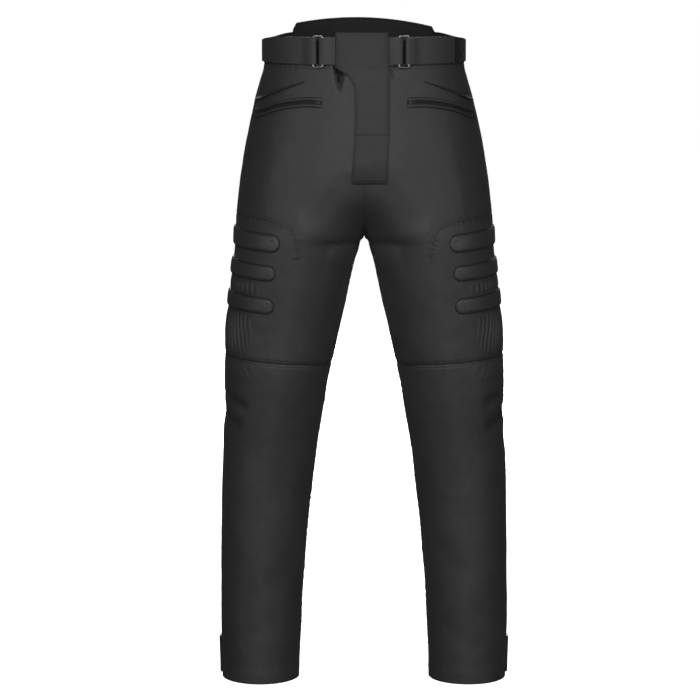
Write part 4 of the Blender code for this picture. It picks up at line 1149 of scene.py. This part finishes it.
for side in signs:
    for where, shift in (("Upper", pocketSizes["lipOffset"]), ("Lower", -pocketSizes["lipOffset"])):
        around, height = frontLine(pocketLine, pocketSizes["columns"], shift)
        breadth = np.full(len(around), pocketSizes["lipBreadth"])
        stripPiece(f"pocketLip{where}.{side}", side, around, height, breadth, lipLift,
                   pocketSizes["rows"], [shellCloth], 0.0006)
    around, height = frontLine(pocketLine, pocketSizes["columns"])
    breadth = np.full(len(around), pocketSizes["tapeBreadth"])
    stripPiece(f"pocketTape.{side}", side, around, height, breadth,
               lambda u, v: np.full(len(u), pocketSizes["tapeLift"]), 2, [zipTape], 0.0005)
    around, height = frontLine(tuckLine, tuckSizes["columns"])
    breadth = tuckSizes["breadth"] * np.linspace(0.30, 1, len(around))
    stripPiece(f"hipTuck.{side}", side, around, height, breadth, tuckLift,
               tuckSizes["rows"], [shellCloth], 0.0004)
print("pockets and tucks made")


# Padded ribs, blown up by the cloth simulation between their stitched edges
ribTable = [                     # inner end's x and height, height at the side seam, breadth
    (0.1370, -0.3125, -0.3070, 0.0300),
    (0.1440, -0.3610, -0.3565, 0.0265),
    (0.1470, -0.4150, -0.4090, 0.0270),
]
ribSizes = {"columns": 48, "rows": 14, "height": 0.0034, "edge": 0.0008, "tip": 0.3,
            "sideHeight": 0.35, "lift": 0.0007, "inset": 0.0008, "pressure": 4.0,
            "frames": 20, "cap": 0.0010, "evened": 12}


def ribForm(row):
    innerX, innerHeight, sideHeight, breadth = row
    start = float(aroundOfX(innerX, innerHeight))
    sideWalk = float(sideWalkAt(innerHeight))
    end = 1 - 0.0003 / sideWalk
    roundPart = breadth / 2 / ((end - start) * sideWalk)
    count = ribSizes["columns"]
    corner = count // 6
    turn = 1 - np.cos(np.linspace(0, pi / 2, corner, endpoint=False))
    u = np.concatenate([roundPart * turn, np.linspace(roundPart, 1, count - corner + 1)])
    around = start + (end - start) * u
    drop = smoothStep(0.5 + u / 2) * 2 - 1
    height = innerHeight + (sideHeight - innerHeight) * drop
    rounded = np.clip(1 - np.clip(1 - u / roundPart, 0, 1) ** 2, 0, 1)
    width = breadth * np.sqrt(np.maximum(rounded, ribSizes["tip"] ** 2))
    return u, around, height, width, roundPart


def simulateRib(piece, pinned):
    # presses the top out against its pinned edge, no farther than the cap
    before = np.array([v.co[:] for v in piece.data.vertices])
    group = piece.vertex_groups.new(name="pinned")
    group.add(pinned, 1.0, "REPLACE")
    modifier = piece.modifiers.new("cloth", "CLOTH")
    cloth = modifier.settings
    cloth.quality = 6
    cloth.mass = 0.25
    cloth.tension_stiffness = 25
    cloth.compression_stiffness = 25
    cloth.bending_stiffness = 0.6
    cloth.shrink_min = -0.05
    cloth.use_pressure = True
    cloth.uniform_pressure_force = ribSizes["pressure"]
    cloth.vertex_group_mass = "pinned"
    cloth.pin_stiffness = 50
    cloth.effector_weights.gravity = 0
    for number in range(1, ribSizes["frames"] + 1):
        bpy.context.scene.frame_set(number)
    evaluated = piece.evaluated_get(bpy.context.evaluated_depsgraph_get())
    after = np.array([v.co[:] for v in evaluated.data.vertices])
    piece.modifiers.remove(modifier)
    piece.vertex_groups.remove(group)
    bpy.context.scene.frame_set(1)
    moved = after - before
    # evened out between neighbours, as the wadding does
    edges = np.array([edge.vertices[:] for edge in piece.data.edges])
    held = np.zeros(len(moved), bool)
    held[pinned] = True
    count = np.bincount(edges.ravel(), minlength=len(moved))[:, None]
    for _ in range(ribSizes["evened"]):
        total = np.zeros_like(moved)
        np.add.at(total, edges[:, 0], moved[edges[:, 1]])
        np.add.at(total, edges[:, 1], moved[edges[:, 0]])
        moved = total / np.maximum(count, 1)
        moved[held] = 0
    length = np.linalg.norm(moved, axis=1, keepdims=True)
    moved *= np.minimum(1.0, ribSizes["cap"] / np.maximum(length, 1e-9))
    setPlace(piece.data, before + moved)


def ribPiece(name, side, row):
    u, around, height, width, roundPart = ribForm(row)
    rows = ribSizes["rows"]

    def ribLift(place, v):
        at = np.interp(place, np.linspace(0, 1, len(u)), u)
        overEnd = dome(np.clip(1 - at / roundPart, 0, 1))
        rounded = np.sqrt(np.clip(1 - v ** 8, 0, 1))
        lower = 1 - (1 - ribSizes["sideHeight"]) * smoothStep((at - 0.25) / 0.6)
        full = ribSizes["height"] * overEnd * rounded * lower
        return ribSizes["lift"] + ribSizes["edge"] + full
    piece = stripPiece(name, side, around, height, width, ribLift, rows, [ribCloth], 0.0010)
    piece.modifiers.remove(piece.modifiers["thickness"])
    # close it underneath, so that it holds air
    shape = bmesh.new()
    shape.from_mesh(piece.data)
    border = [edge for edge in shape.edges if edge.is_boundary]
    copies = bmesh.ops.extrude_edge_only(shape, edges=border)["geom"]
    rim = [item for item in copies if isinstance(item, bmesh.types.BMVert)]
    inward = sum((face.normal for face in shape.faces), Vector()).normalized() * -ribSizes["inset"]
    bmesh.ops.translate(shape, verts=rim, vec=inward)
    rimEdges = [item for item in copies if isinstance(item, bmesh.types.BMEdge)
                and item.is_boundary]
    bmesh.ops.holes_fill(shape, edges=rimEdges, sides=0)
    bmesh.ops.triangulate(shape, faces=[f for f in shape.faces if len(f.verts) > 4])
    bmesh.ops.recalc_face_normals(shape, faces=shape.faces)
    shape.to_mesh(piece.data)
    shape.free()
    piece.data.shade_smooth()
    count = (ribSizes["columns"] + 1) * (rows + 1)
    seam = np.empty(len(piece.data.vertices))
    piece.data.attributes["seam"].data.foreach_get("value", seam)
    pinned = [k for k in range(len(seam)) if k >= count or seam[k] < 1e-6]
    simulateRib(piece, pinned)


for side in signs:
    for number, row in enumerate(ribTable, 1):
        ribPiece(f"kneeRib{number}.{side}", side, row)
print("knee ribs made")


# Hem tabs
tabSizes = {"top": -0.9850, "bottom": -1.0475, "start": 0.90, "end": 1.32, "corner": 0.012,
            "thickness": 0.0042, "taper": 0.020, "lift": 0.0003, "under": 0.0006,
            "edgeRoll": 0.0010, "edgeWidth": 0.0022, "columns": 46, "rows": 20}


def hemTab(side):
    s = tabSizes
    piece, columnNumber, rowNumber = gridPiece(f"hemTab.{side}", s["columns"], s["rows"],
                                               [tabCloth])
    middle = (s["top"] + s["bottom"]) / 2
    half = (s["top"] - s["bottom"]) / 2
    around = s["start"] + (s["end"] - s["start"]) * (columnNumber / s["columns"]) ** 1.3
    startWalk, endWalk = walkOf(np.array([s["start"], s["end"]]), middle)
    fromStart = walkOf(around, middle) - startWalk
    cutOff = s["corner"] * (1 - dome(np.clip(1 - fromStart / s["corner"], 0, 1)))
    v = 1 - 2 * rowNumber / s["rows"]
    height = middle + (half - cutOff) * v
    points, normals = shellAt(around, height)
    nearEdge = np.minimum((half - cutOff) * (1 - np.abs(v)), fromStart)
    nearEdge = np.minimum(nearEdge, np.abs(endWalk - fromStart - startWalk))
    full = 0.35 + 0.65 * smoothStep(fromStart / s["taper"])
    lift = s["lift"] + s["thickness"] * full - s["edgeRoll"] * bell(nearEdge, s["edgeWidth"])
    wall = s["thickness"] - s["under"]
    wallShare = np.clip((lift - s["under"]) / wall, 0.1, 1)
    lift = lift + creaseLift(side, around, height) + rippleLift(points, 0.03, 0.0006, 31)
    dress(piece, mirrorX(side, points + normals * lift[:, None]), mirrorX(side, normals),
          (walkOf(around, height), height), nearEdge, np.zeros(len(v)), wall)
    group = piece.vertex_groups.new(name="wall")
    for number, share in enumerate(wallShare):
        group.add([number], float(share), "REPLACE")
    piece.modifiers["thickness"].vertex_group = group.name


for side in signs:
    hemTab(side)
print("hem tabs made")


# Waist straps, rings and the loops that hold them
strapSizes = {
    "ringX": {"left": 0.0733, "right": 0.0618},
    "freeEnd": {"left": 0.97, "right": 0.67},
    "tabEdge": {"left": 0.0463, "right": 0.0399},
    "slotReach": {"waistStrap": 0.0050, "ringLoop": 0.0072},
    "inset": 0.0014, "bottom": -0.0235, "thickness": 0.0011, "gap": 0.0003, "start": 0.995,
    "ringWidth": 0.0160, "ringHeight": 0.0490, "ringMiddle": -0.0035, "wire": 0.00150,
    "corner": 0.0026, "ringLift": 0.0045, "clearance": 0.0008, "settles": 0.022,
    "loopTape": 0.090, "step": 0.0018, "turns": 16, "rows": 14,
}


def foldedPath(underEnd, overEnd, bar, way, slotReach):
    # (walk, lift) places: under layer, round the bar as far as the reach, and back over it
    s = strapSizes
    half = s["thickness"] / 2
    under = form["bandProud"] + s["gap"] + half
    over = under + s["thickness"] + s["gap"]
    reach = s["wire"] + s["clearance"] + half
    length = (underEnd - bar) * way
    count = max(2, round(length / s["step"]))
    path = [(underEnd - way * length * k / count, under) for k in range(count)]
    for k in range(s["turns"] + 1):
        turn = -pi / 2 - pi * k / s["turns"]
        path.append((bar + way * slotReach * cos(turn), s["ringLift"] + reach * sin(turn)))
    length = (overEnd - bar) * way
    count = max(3, round(length / s["step"]))
    for k in range(1, count + 1):
        walk = length * k / count
        settled = float(smoothStep(walk / min(s["settles"], length)))
        top = s["ringLift"] + reach
        path.append((bar + way * walk, top + (over - top) * settled))
    return np.array(path)


def strapPiece(name, side, path, loopEnd=0.0):
    # loopEnd is how much of the under layer is loop tape, from its sewn end
    s = strapSizes
    rows = s["rows"]
    piece, columnNumber, rowNumber = gridPiece(name, len(path) - 1, rows,
                                               [strapWebbing, loopTape])
    run = np.gradient(path, axis=0)
    run /= np.linalg.norm(run, axis=1, keepdims=True)
    outward = np.stack([-run[:, 1], run[:, 0]], axis=1) * s["thickness"] / 2
    sideWalk = float(sideWalkAt(0.0))
    place = path[columnNumber] + outward[columnNumber]
    around = place[:, 0] / sideWalk
    middleAround = path[columnNumber][:, 0] / sideWalk
    top = frontBandTop(middleAround) - s["inset"]
    height = top + (s["bottom"] - top) * rowNumber / rows
    points, normals = shellAt(around, height)
    points = points + normals * place[:, 1][:, None]
    setPlace(piece.data, mirrorX(side, points))
    walked = runningSum(np.linalg.norm(np.diff(path, axis=0), axis=1))
    setUv(piece.data, np.stack([walked[columnNumber], height], axis=1))
    # the outer face of the over layer points out and that of the under layer in
    mesh = piece.data
    overLayer = [f for f in mesh.polygons if columnNumber[f.vertices[0]] > len(path) - 3]
    outwards = mirrorX(side, normals)
    if sum(Vector(outwards[f.vertices[0]]).dot(f.normal) for f in overLayer) < 0:
        mesh.flip_normals()
    mesh.shade_smooth()
    for face in mesh.polygons:
        if walked[max(columnNumber[number] for number in face.vertices)] < loopEnd:
            face.material_index = 1
    thicken(piece, s["thickness"])
    return piece, walked[-1]


def selectPoints(piece, wanted):
    # leaves the piece in edit mode
    bpy.ops.object.mode_set(mode="EDIT")
    bpy.ops.mesh.select_mode(type="VERT")
    bpy.ops.mesh.select_all(action="DESELECT")
    bpy.ops.object.mode_set(mode="OBJECT")
    for vert in piece.data.vertices:
        vert.select = wanted(vert.co)
    bpy.ops.object.mode_set(mode="EDIT")


def waistRing(side, walk):
    # a torus is pulled apart into a rectangle of wire with round corners
    s = strapSizes
    deselectAll()
    bpy.ops.mesh.primitive_torus_add(major_segments=32, minor_segments=12,
                                     major_radius=s["corner"], minor_radius=s["wire"],
                                     rotation=(pi / 2, 0, 0))
    ring = bpy.context.object
    ring.name = f"waistRing.{side}"
    ring.data.name = ring.name
    bpy.ops.object.transform_apply(location=False, rotation=True, scale=False)
    stretch = Vector((s["ringWidth"] / 2 - s["corner"], 0, s["ringHeight"] / 2 - s["corner"]))
    for axis in (0, 2):
        for way in (-1, 1):
            selectPoints(ring, lambda place: place[axis] * way > 1e-6)
            shift = [0.0, 0.0, 0.0]
            shift[axis] = stretch[axis] * way
            bpy.ops.transform.translate(value=shift)
            bpy.ops.object.mode_set(mode="OBJECT")
    around = np.array([walk, walk + 0.002]) / float(sideWalkAt(0.0))
    spots, normals = shellAt(around, np.full(2, s["ringMiddle"]))
    centre = mirrorX(side, spots + normals * s["ringLift"])
    along = Vector(centre[1] - centre[0]).normalized() * signs[side]
    away = Vector((0, 0, 1)).cross(along)
    ringPoints = [Vector(centre[0]) + along * v.co.x + Vector((0, 0, v.co.z)) + away * v.co.y
                  for v in ring.data.vertices]
    setPlace(ring.data, [tuple(p) for p in ringPoints])
    ring.data.shade_smooth()
    ring.data.materials.append(ringMetal)
    smoothing = ring.modifiers.new("smoothing", "SUBSURF")
    smoothing.levels = 1
    smoothing.render_levels = 1
    allPieces[ring.name] = ring


for side in signs:
    s = strapSizes
    x, y, walk, sideWalk, outermost = halfRing(0.0)
    middle = float(np.interp(s["ringX"][side], x[:outermost + 1], walk[:outermost + 1]))
    path = foldedPath(s["start"] * sideWalk, s["freeEnd"][side] * sideWalk,
                      middle + s["ringWidth"] / 2, 1, s["slotReach"]["waistStrap"])
    piece, length = strapPiece(f"waistStrap.{side}", side, path, loopEnd=s["loopTape"])
    edge = s["tabEdge"][side]
    edgeWalk = float(np.interp(edge, x[:outermost + 1], walk[:outermost + 1])) + s["gap"]
    loop = foldedPath(edgeWalk, edgeWalk, middle - s["ringWidth"] / 2, -1,
                      s["slotReach"]["ringLoop"])
    piece, length = strapPiece(f"ringLoop.{side}", side, loop)
    waistRing(side, middle)
print("straps and rings made")


# Zip teeth and sliders
zipSizes = {"pitch": 0.0013, "toothLength": 0.0016, "toothWidth": 0.0008,
            "toothHeight": 0.0009, "toothStep": 0.0004, "toothLift": 0.0003,
            "sliderLength": 0.0080, "sliderWidth": 0.0046, "sliderHeight": 0.0022,
            "sliderLift": 0.0030, "taper": 0.7}
stitchSizes = {"pitch": 0.0038, "length": 0.0031, "width": 0.00055, "height": 0.00042,
               "strapPitch": 0.0026, "lipPitch": 0.0030, "tackPitch": 0.0016,
               "sink": 0.00005, "stripPoints": 80}


def joinedForms(name, places, shapes, finish):
    # one mesh from many copies of a small form; a place is (middle, along, across, out)
    base, faces = shapes
    count = len(places)
    middle, along, across, out = (np.array([p[n] for p in places]) for n in range(4))
    points = (middle[:, None] + along[:, None] * base[None, :, 0:1]
              + across[:, None] * base[None, :, 1:2] + out[:, None] * base[None, :, 2:3])
    mesh = bpy.data.meshes.new(name)
    every = [tuple(k * len(base) + n for n in face) for k in range(count) for face in faces]
    mesh.from_pydata(points.reshape(-1, 3).tolist(), [], every)
    shape = bmesh.new()
    shape.from_mesh(mesh)
    bmesh.ops.recalc_face_normals(shape, faces=shape.faces)
    shape.to_mesh(mesh)
    shape.free()
    piece = bpy.data.objects.new(name, mesh)
    bpy.context.collection.objects.link(piece)
    mesh.materials.append(finish)
    mesh.shade_smooth()
    allPieces[name] = piece


def spindle(length, width, height):
    # a low-sided thread form with its long axis first
    base = [(-length / 2, 0, -height * 0.4), (length / 2, 0, -height * 0.4)]
    for end in (-0.30, 0.30):
        for turn in range(5):
            angle = 2 * pi * turn / 5
            base.append((length * end, width / 2 * cos(angle), height / 2 * sin(angle)))
    faces = []
    for turn in range(5):
        following = (turn + 1) % 5
        faces.append((0, 2 + turn, 2 + following))
        faces.append((2 + turn, 7 + turn, 7 + following, 2 + following))
        faces.append((1, 7 + following, 7 + turn))
    return np.array(base), faces


def pieceTree(*names):
    points, faces = [], []
    for name in names:
        mesh = allPieces[name].data
        first = len(points)
        points += [v.co.copy() for v in mesh.vertices]
        faces += [[first + n for n in face.vertices] for face in mesh.polygons]
    return BVHTree.FromPolygons(points, faces)


def onSide(side, around, height):
    # a seam line on the leg or the band: its points and its normals
    points, normals = shellAt(*np.broadcast_arrays(around, height))
    return mirrorX(side, points), mirrorX(side, normals)


def stitchPlaces(tree, seam, pitch=stitchSizes["pitch"], sink=0.0):
    # even places along a seam line, dropped on to the cloth from outside
    line, normals = seam
    walked = runningSum(np.linalg.norm(np.diff(line, axis=0), axis=1))
    count = int(walked[-1] / pitch)
    if count < 1:
        return []

    def read(table, at):
        return np.stack([np.interp(at, walked, table[:, n]) for n in range(3)], axis=1)
    at = (np.arange(count) + 0.5) * walked[-1] / count
    runs = read(line, at + 0.0005) - read(line, at - 0.0005)
    places = []
    for spot, out, run in zip(read(line, at), read(normals, at), runs):
        out = Vector(out).normalized()
        hit, normal, number, distance = tree.ray_cast(Vector(spot) + out * 0.015, -out, 0.035)
        if hit is None:
            continue
        if normal.dot(out) < 0:
            normal = -normal
        along = (Vector(run) - normal * Vector(run).dot(normal)).normalized()
        across = normal.cross(along)
        places.append((hit + normal * -sink, along, across, normal))
    return places


for side in signs:
    s = zipSizes
    places = stitchPlaces(pieceTree(f"pocketTape.{side}"),
                          onSide(side, *frontLine(pocketLine, 120)), s["pitch"])
    teeth = []
    for number, (spot, along, across, out) in enumerate(places):
        way = 1 if number % 2 else -1
        spot = spot + across * s["toothStep"] * way + out * s["toothLift"]
        teeth.append((spot, across, along, out))
    joinedForms(f"pocketZip.{side}", teeth,
                spindle(s["toothLength"], s["toothWidth"], s["toothHeight"]), zipCoil)


def zipSlider(side):
    # a small wedge-shaped body on the teeth, with its pull lying along them
    s = zipSizes
    points, normals = (table[6:8] for table in onSide(side, *frontLine(pocketLine, 120)))
    out = Vector(normals[0]).normalized()
    along = Vector(points[1] - points[0])
    along = (along - out * along.dot(out)).normalized()
    across = out.cross(along)
    deselectAll()
    bpy.ops.mesh.primitive_cube_add(size=1)
    slider = bpy.context.object
    slider.name = f"zipSlider.{side}"
    slider.data.name = slider.name
    for vert in slider.data.vertices:
        vert.co.x *= s["sliderLength"]
        vert.co.y *= s["sliderWidth"] * (1.0 if vert.co.x < 0 else s["taper"])
        vert.co.z *= s["sliderHeight"]
    bpy.ops.object.mode_set(mode="EDIT")
    bpy.ops.mesh.select_all(action="SELECT")
    bpy.ops.mesh.bevel(offset=0.0006, segments=3)
    bpy.ops.object.mode_set(mode="OBJECT")
    middle = Vector(points[0]) + out * s["sliderLift"]
    setPlace(slider.data, [tuple(middle + along * v.co.x + across * v.co.y + out * v.co.z)
                           for v in slider.data.vertices])
    shape = bmesh.new()
    shape.from_mesh(slider.data)
    bmesh.ops.recalc_face_normals(shape, faces=shape.faces)
    shape.to_mesh(slider.data)
    shape.free()
    slider.data.shade_smooth()
    slider.data.materials.append(zipCoil)
    allPieces[slider.name] = slider


for side in signs:
    zipSlider(side)
print("zips made")


# Stitching
def legLine(side, columns, rows, offset):
    # a line on the leg's columns and rows, moved sideways over the cloth by an offset
    height = rowHeight(columns, rows)
    around = columnAround(columns, height)
    points, normals = shellAt(around, height)
    run = np.gradient(points, axis=0)
    sideways = np.cross(normals, run)
    sideways /= np.linalg.norm(sideways, axis=1, keepdims=True)
    return mirrorX(side, points + sideways * offset), mirrorX(side, normals)


def joinStitches(name, places):
    joinedForms(name, places, spindle(stitchSizes["length"], stitchSizes["width"],
                                      stitchSizes["height"]), seamThread)


inset = {                        # from the nearest edge, in metres, to each row of stitches
    "bandTop": 0.0040, "bandBottom": 0.0014, "backTop": 0.0035, "backBottom": 0.0016,
    "strapEnd": (0.0035, 0.0075), "strapTop": 0.005, "strapBottom": 0.003, "rib": 0.0026,
    "lip": 0.0018, "pocket": 0.0125, "tab": 0.0035, "tabSide": 0.005, "flap": 0.0030,
    "crossSeam": 0.0040, "hem": (0.0215, 0.0185),
}
# each seam of a leg: first and last column, first and last row, points, and the offset sideways
legSeams = [
    *((0.25, backColumn - 0.25, kneeRow, kneeRow, 200, offset)
      for offset in (0.0050, 0.0085, -0.0050)),
    (yokeColumn, yokeColumn, yokeRow + 0.25, yokeRow + 3.4, 120, -0.0050),
    (yokeColumn + 0.2, sideColumn - 0.2, yokeRow, yokeRow, 80, 0.0050),
    (yokeColumn, yokeColumn, yokeRow + 0.25, yokeRow + 3.4, 120, -0.0095),
    (yokeColumn + 0.2, sideColumn - 0.2, yokeRow, yokeRow, 80, 0.0095),
    (sideColumn, sideColumn, 0.2, hemRow - 0.3, 400, 0.0048),
    (sideColumn, sideColumn, 0.2, hemRow - 0.3, 400, -0.0048),
    (0, 0, 7.6, forkRow - 1.2, 120, 0.0045),
    (backColumn, backColumn, 0.2, forkRow - 0.6, 120, -0.0045),
]


def sewLegs(side):
    panels = pieceTree(*(f"{stem}.{side}" for stem in
                         ("thighFront", "kneePanel", "shinFront", "thighBack", "shinBack")))
    seams = [legLine(side, np.linspace(firstColumn, lastColumn, count),
                     np.linspace(firstRow, lastRow, count), offset)
             for firstColumn, lastColumn, firstRow, lastRow, count, offset in legSeams]
    hem = np.linspace(0.01, 1.99, 300)
    seams += [onSide(side, hem, form["hem"] + up) for up in inset["hem"]]
    places = []
    for seam in seams:
        places += stitchPlaces(panels, seam, sink=stitchSizes["sink"])
    joinStitches(f"legStitches.{side}", places)


def sewTrims(side):
    places = []

    def sew(tree, around, height, pitch=stitchSizes["pitch"]):
        places.extend(stitchPlaces(tree, onSide(side, around, height), pitch))
    band = pieceTree(f"waistbandFront.{side}")
    free = np.linspace(0.02, strapSizes["ringX"][side] / waistHalf * 0.62, 60)
    sew(band, free, frontBandTop(free) - inset["bandTop"])
    sew(band, np.linspace(0.02, 0.985, 160), form["bandBottom"] + inset["bandBottom"])
    strap = pieceTree(f"waistStrap.{side}")
    end = strapSizes["freeEnd"][side]
    height = np.linspace(frontBandTop(end) - inset["strapTop"],
                         strapSizes["bottom"] + inset["strapBottom"], 24)
    for back in inset["strapEnd"]:
        sew(strap, end - back / sideWalkAt(0.0), height, stitchSizes["strapPitch"])
    for number, row in enumerate(ribTable, 1):
        u, around, height, width, roundPart = ribForm(row)
        rib = pieceTree(f"kneeRib{number}.{side}")
        for edge in (-1, 1):
            sew(rib, around[6:], (height + edge * (width / 2 - inset["rib"]))[6:])
    for where, way in (("Upper", 1), ("Lower", -1)):
        shift = way * (pocketSizes["lipOffset"] + inset["lip"])
        sew(pieceTree(f"pocketLip{where}.{side}"),
            *frontLine(pocketLine, stitchSizes["stripPoints"], shift), stitchSizes["lipPitch"])
    thigh = pieceTree(f"thighFront.{side}")
    for away in (inset["pocket"], -inset["pocket"]):
        sew(thigh, *frontLine(pocketLine, stitchSizes["stripPoints"], away))
    tab = pieceTree(f"hemTab.{side}")
    start, end, top, bottom = (tabSizes[key] for key in ("start", "end", "top", "bottom"))
    for height in (top - inset["tab"], bottom + inset["tab"]):
        sew(tab, np.linspace(start + 0.05, end - 0.01, 70), height)
    for spot in (end - 0.015, end - 0.12):
        sew(tab, spot, np.linspace(top - inset["tabSide"], bottom + inset["tabSide"], 24))
    joinStitches(f"trimStitches.{side}", places)


def flapLine(xs, heights):
    xs, heights = np.broadcast_arrays(xs, heights)
    points, normals = shellAt(aroundOfX(xs, heights), heights)
    return points * overTo(xs), normals * overTo(xs)


def sewFlap():
    flap = pieceTree("closureFlap")
    heights = np.linspace(0.0245, -0.2110, 260)
    left, right = flapEdges(heights)
    places = stitchPlaces(flap, flapLine(left + inset["flap"], heights))
    places += stitchPlaces(flap, flapLine(right - inset["flap"], heights))
    seam = flapSizes["crossSeam"]
    for height in (0.0242, seam + inset["crossSeam"], seam - inset["crossSeam"], -0.2115):
        left, right = (float(edge) for edge in flapEdges(height))
        level = np.linspace(left + inset["flap"], right - inset["flap"], 60)
        places += stitchPlaces(flap, flapLine(level, height))
    # two bar tacks at the left edge
    for height in (-0.0690, -0.0735):
        for x in -0.0130 + 0.0008 * np.arange(9):
            tack = flapLine(x, np.array([height + 0.0010, height - 0.0010]))
            places += stitchPlaces(flap, tack, stitchSizes["tackPitch"])
    joinStitches("flapStitches", places)


def sewBackBand():
    band = pieceTree("waistbandBack")
    places = []
    half = np.linspace(1.03, 2.0, 160)
    for side in signs:
        x = shellAt(half, np.zeros(160))[0][:, 0] * signs[side]
        line, normals = onSide(side, half, backBandTop(x) - inset["backTop"])
        places += stitchPlaces(band, (line, normals))
        places += stitchPlaces(band, (line, -normals))      # and on the inside, which shows
        bottom = form["bandBottom"] + inset["backBottom"]
        places += stitchPlaces(band, onSide(side, half, bottom))
    joinStitches("bandStitches", places)


for side in signs:
    sewLegs(side)
    sewTrims(side)
sewFlap()
sewBackBand()
print("stitching made")


# What each piece is, what it stands for and what it is made of
Role = namedtuple("Role", "slot replaces")
roles = {
    "thighFront": Role("shell_cloth", ["thigh_front"]),
    "kneePanel": Role("panel_cloth", ["knee_panel"]),
    "shinFront": Role("shell_cloth", ["shin_front"]),
    "thighBack": Role("shell_cloth", ["thigh_back"]),
    "shinBack": Role("shell_cloth", ["shin_back"]),
    "waistbandFront": Role("band_cloth", ["waistband_front"]),
    "pocketLipUpper": Role("shell_cloth", ["pocket_lip_upper"]),
    "pocketLipLower": Role("shell_cloth", ["pocket_lip_lower"]),
    "pocketTape": Role("zip_tape", ["pocket_zip"]),
    "pocketZip": Role("zip_tape", []),
    "zipSlider": Role("zip_tape", []),
    "hipTuck": Role("shell_cloth", ["hip_tuck"]),
    "kneeRib1": Role("rib_cloth", ["knee_rib_1"]),
    "kneeRib2": Role("rib_cloth", ["knee_rib_2"]),
    "kneeRib3": Role("rib_cloth", ["knee_rib_3"]),
    "hemTab": Role("panel_cloth", ["hem_tab"]),
    "waistStrap": Role("strap_webbing", ["waist_strap"]),
    "ringLoop": Role("strap_webbing", ["ring_loop"]),
    "waistRing": Role("ring_metal", ["waist_ring"]),
    "legStitches": Role("shell_cloth", []),
    "trimStitches": Role("shell_cloth", []),
    "waistbandBack": Role("back_band_cloth", ["waistband_back"]),
    "closureFlap": Role("flap_cloth", ["closure_flap"]),
    "flapStitches": Role("flap_cloth", []),
    "bandStitches": Role("back_band_cloth", []),
}
for name, piece in allPieces.items():
    stem, dot, side = name.partition(".")
    role = roles[stem]
    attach(piece, "root")
    if role.replaces:
        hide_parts(*(f"{node}_{side}" if side else node for node in role.replaces))

# The cut of each sheet: the widest and longest of the flat piece, its flat area, and its hold
Cut = namedtuple("Cut", "width length area held")
cuts = {
    "thighFront": Cut(0.270, 0.492, 0.1050, "hung"),
    "kneePanel": Cut(0.185, 0.262, 0.0475, "hung"),
    "shinFront": Cut(0.257, 0.548, 0.1400, "hung"),
    "thighBack": Cut(0.300, 0.492, 0.1325, "hung"),
    "shinBack": Cut(0.260, 0.548, 0.1237, "hung"),
    "waistbandFront": Cut(0.238, 0.0470, 0.0111, "hung"),
    "waistbandBack": Cut(0.450, 0.0680, 0.0228, "hung"),
    "closureFlap": Cut(0.086, 0.242, 0.0162, "hung"),
    "hemTab": Cut(0.120, 0.0625, 0.0059, "folded"),
}
for name, piece in allPieces.items():
    stem, dot, side = name.partition(".")
    if stem in cuts:
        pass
    elif stem in ("waistStrap", "ringLoop"):
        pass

# Floor, camera and light
stageSizes = {"floorDrop": 0.045, "floorSize": 90.0, "floorGlow": 1.0}
deselectAll()
bpy.ops.mesh.primitive_plane_add(size=stageSizes["floorSize"],
                                 location=(0, 0, form["hem"] - stageSizes["floorDrop"]))
floor = bpy.context.object
floor.name = "floor"
paper = Finish("pale paper floor", {
    "Specular IOR Level": 0.2, "Emission Color": (1.0, 1.0, 1.0, 1.0),
    "Emission Strength": stageSizes["floorGlow"]})
drift = paper.cloud(paper.objectPlace(), 3, 2)
floor.data.materials.append(
    paper.finish(paper.blend(drift, grey(0.90), grey(0.94)), 0.85 + drift * 0.1))
floor.visible_diffuse = False       # the dark cloth takes its light from the lamps alone
floor.visible_glossy = False

view = {"place": (-0.0233, -5.5, 0.30), "down": 8.28, "lens": 173.2}
camera = bpy.data.objects.new("camera", bpy.data.cameras.new("camera"))
bpy.context.collection.objects.link(camera)
camera.location = view["place"]
camera.rotation_euler = (radians(90 - view["down"]), 0, 0)
camera.data.lens = view["lens"]
camera.data.sensor_width = 36
bpy.context.scene.camera = camera

world = bpy.data.worlds.new("studio")
world.use_nodes = True
backdrop = world.node_tree.nodes["Background"].inputs
backdrop["Color"].default_value = (1.0, 1.0, 1.0, 1.0)
backdrop["Strength"].default_value = 1.0
bpy.context.scene.world = world
world.cycles_visibility.diffuse = False      # a white backdrop that lights nothing
world.cycles_visibility.glossy = False
bpy.context.scene.view_settings.view_transform = "Standard"

lamps = {                        # place, aim, width, height, power
    "key": ((0.0, -4.0, 1.6), (0, 0, -0.45), 1.8, 1.4, 68),
    "low": ((0.0, -4.5, -0.5), (0, 0, -0.5), 1.0, 1.0, 37),
    "leftSoft": ((-3.0, -2.6, 0.4), (0, 0, -0.5), 0.9, 2.4, 38),
    "rightSoft": ((3.0, -2.6, 0.4), (0, 0, -0.5), 0.9, 2.4, 38),
    "back": ((0.0, 4.0, 1.8), (0, 0, -0.4), 2.6, 1.6, 150),
    "backLow": ((0.0, 4.5, -0.5), (0, 0, -0.5), 1.6, 1.0, 80),
}
for name, (place, aim, width, height, power) in lamps.items():
    light = bpy.data.lights.new(name, "AREA")
    light.shape = "RECTANGLE"
    light.size = width
    light.size_y = height
    light.energy = power
    lamp = bpy.data.objects.new(name, light)
    bpy.context.collection.objects.link(lamp)
    lamp.location = place
    lamp.rotation_euler = (Vector(aim) - Vector(place)).to_track_quat("-Z", "Y").to_euler()
print("stage set")

bpy.context.view_layer.update()
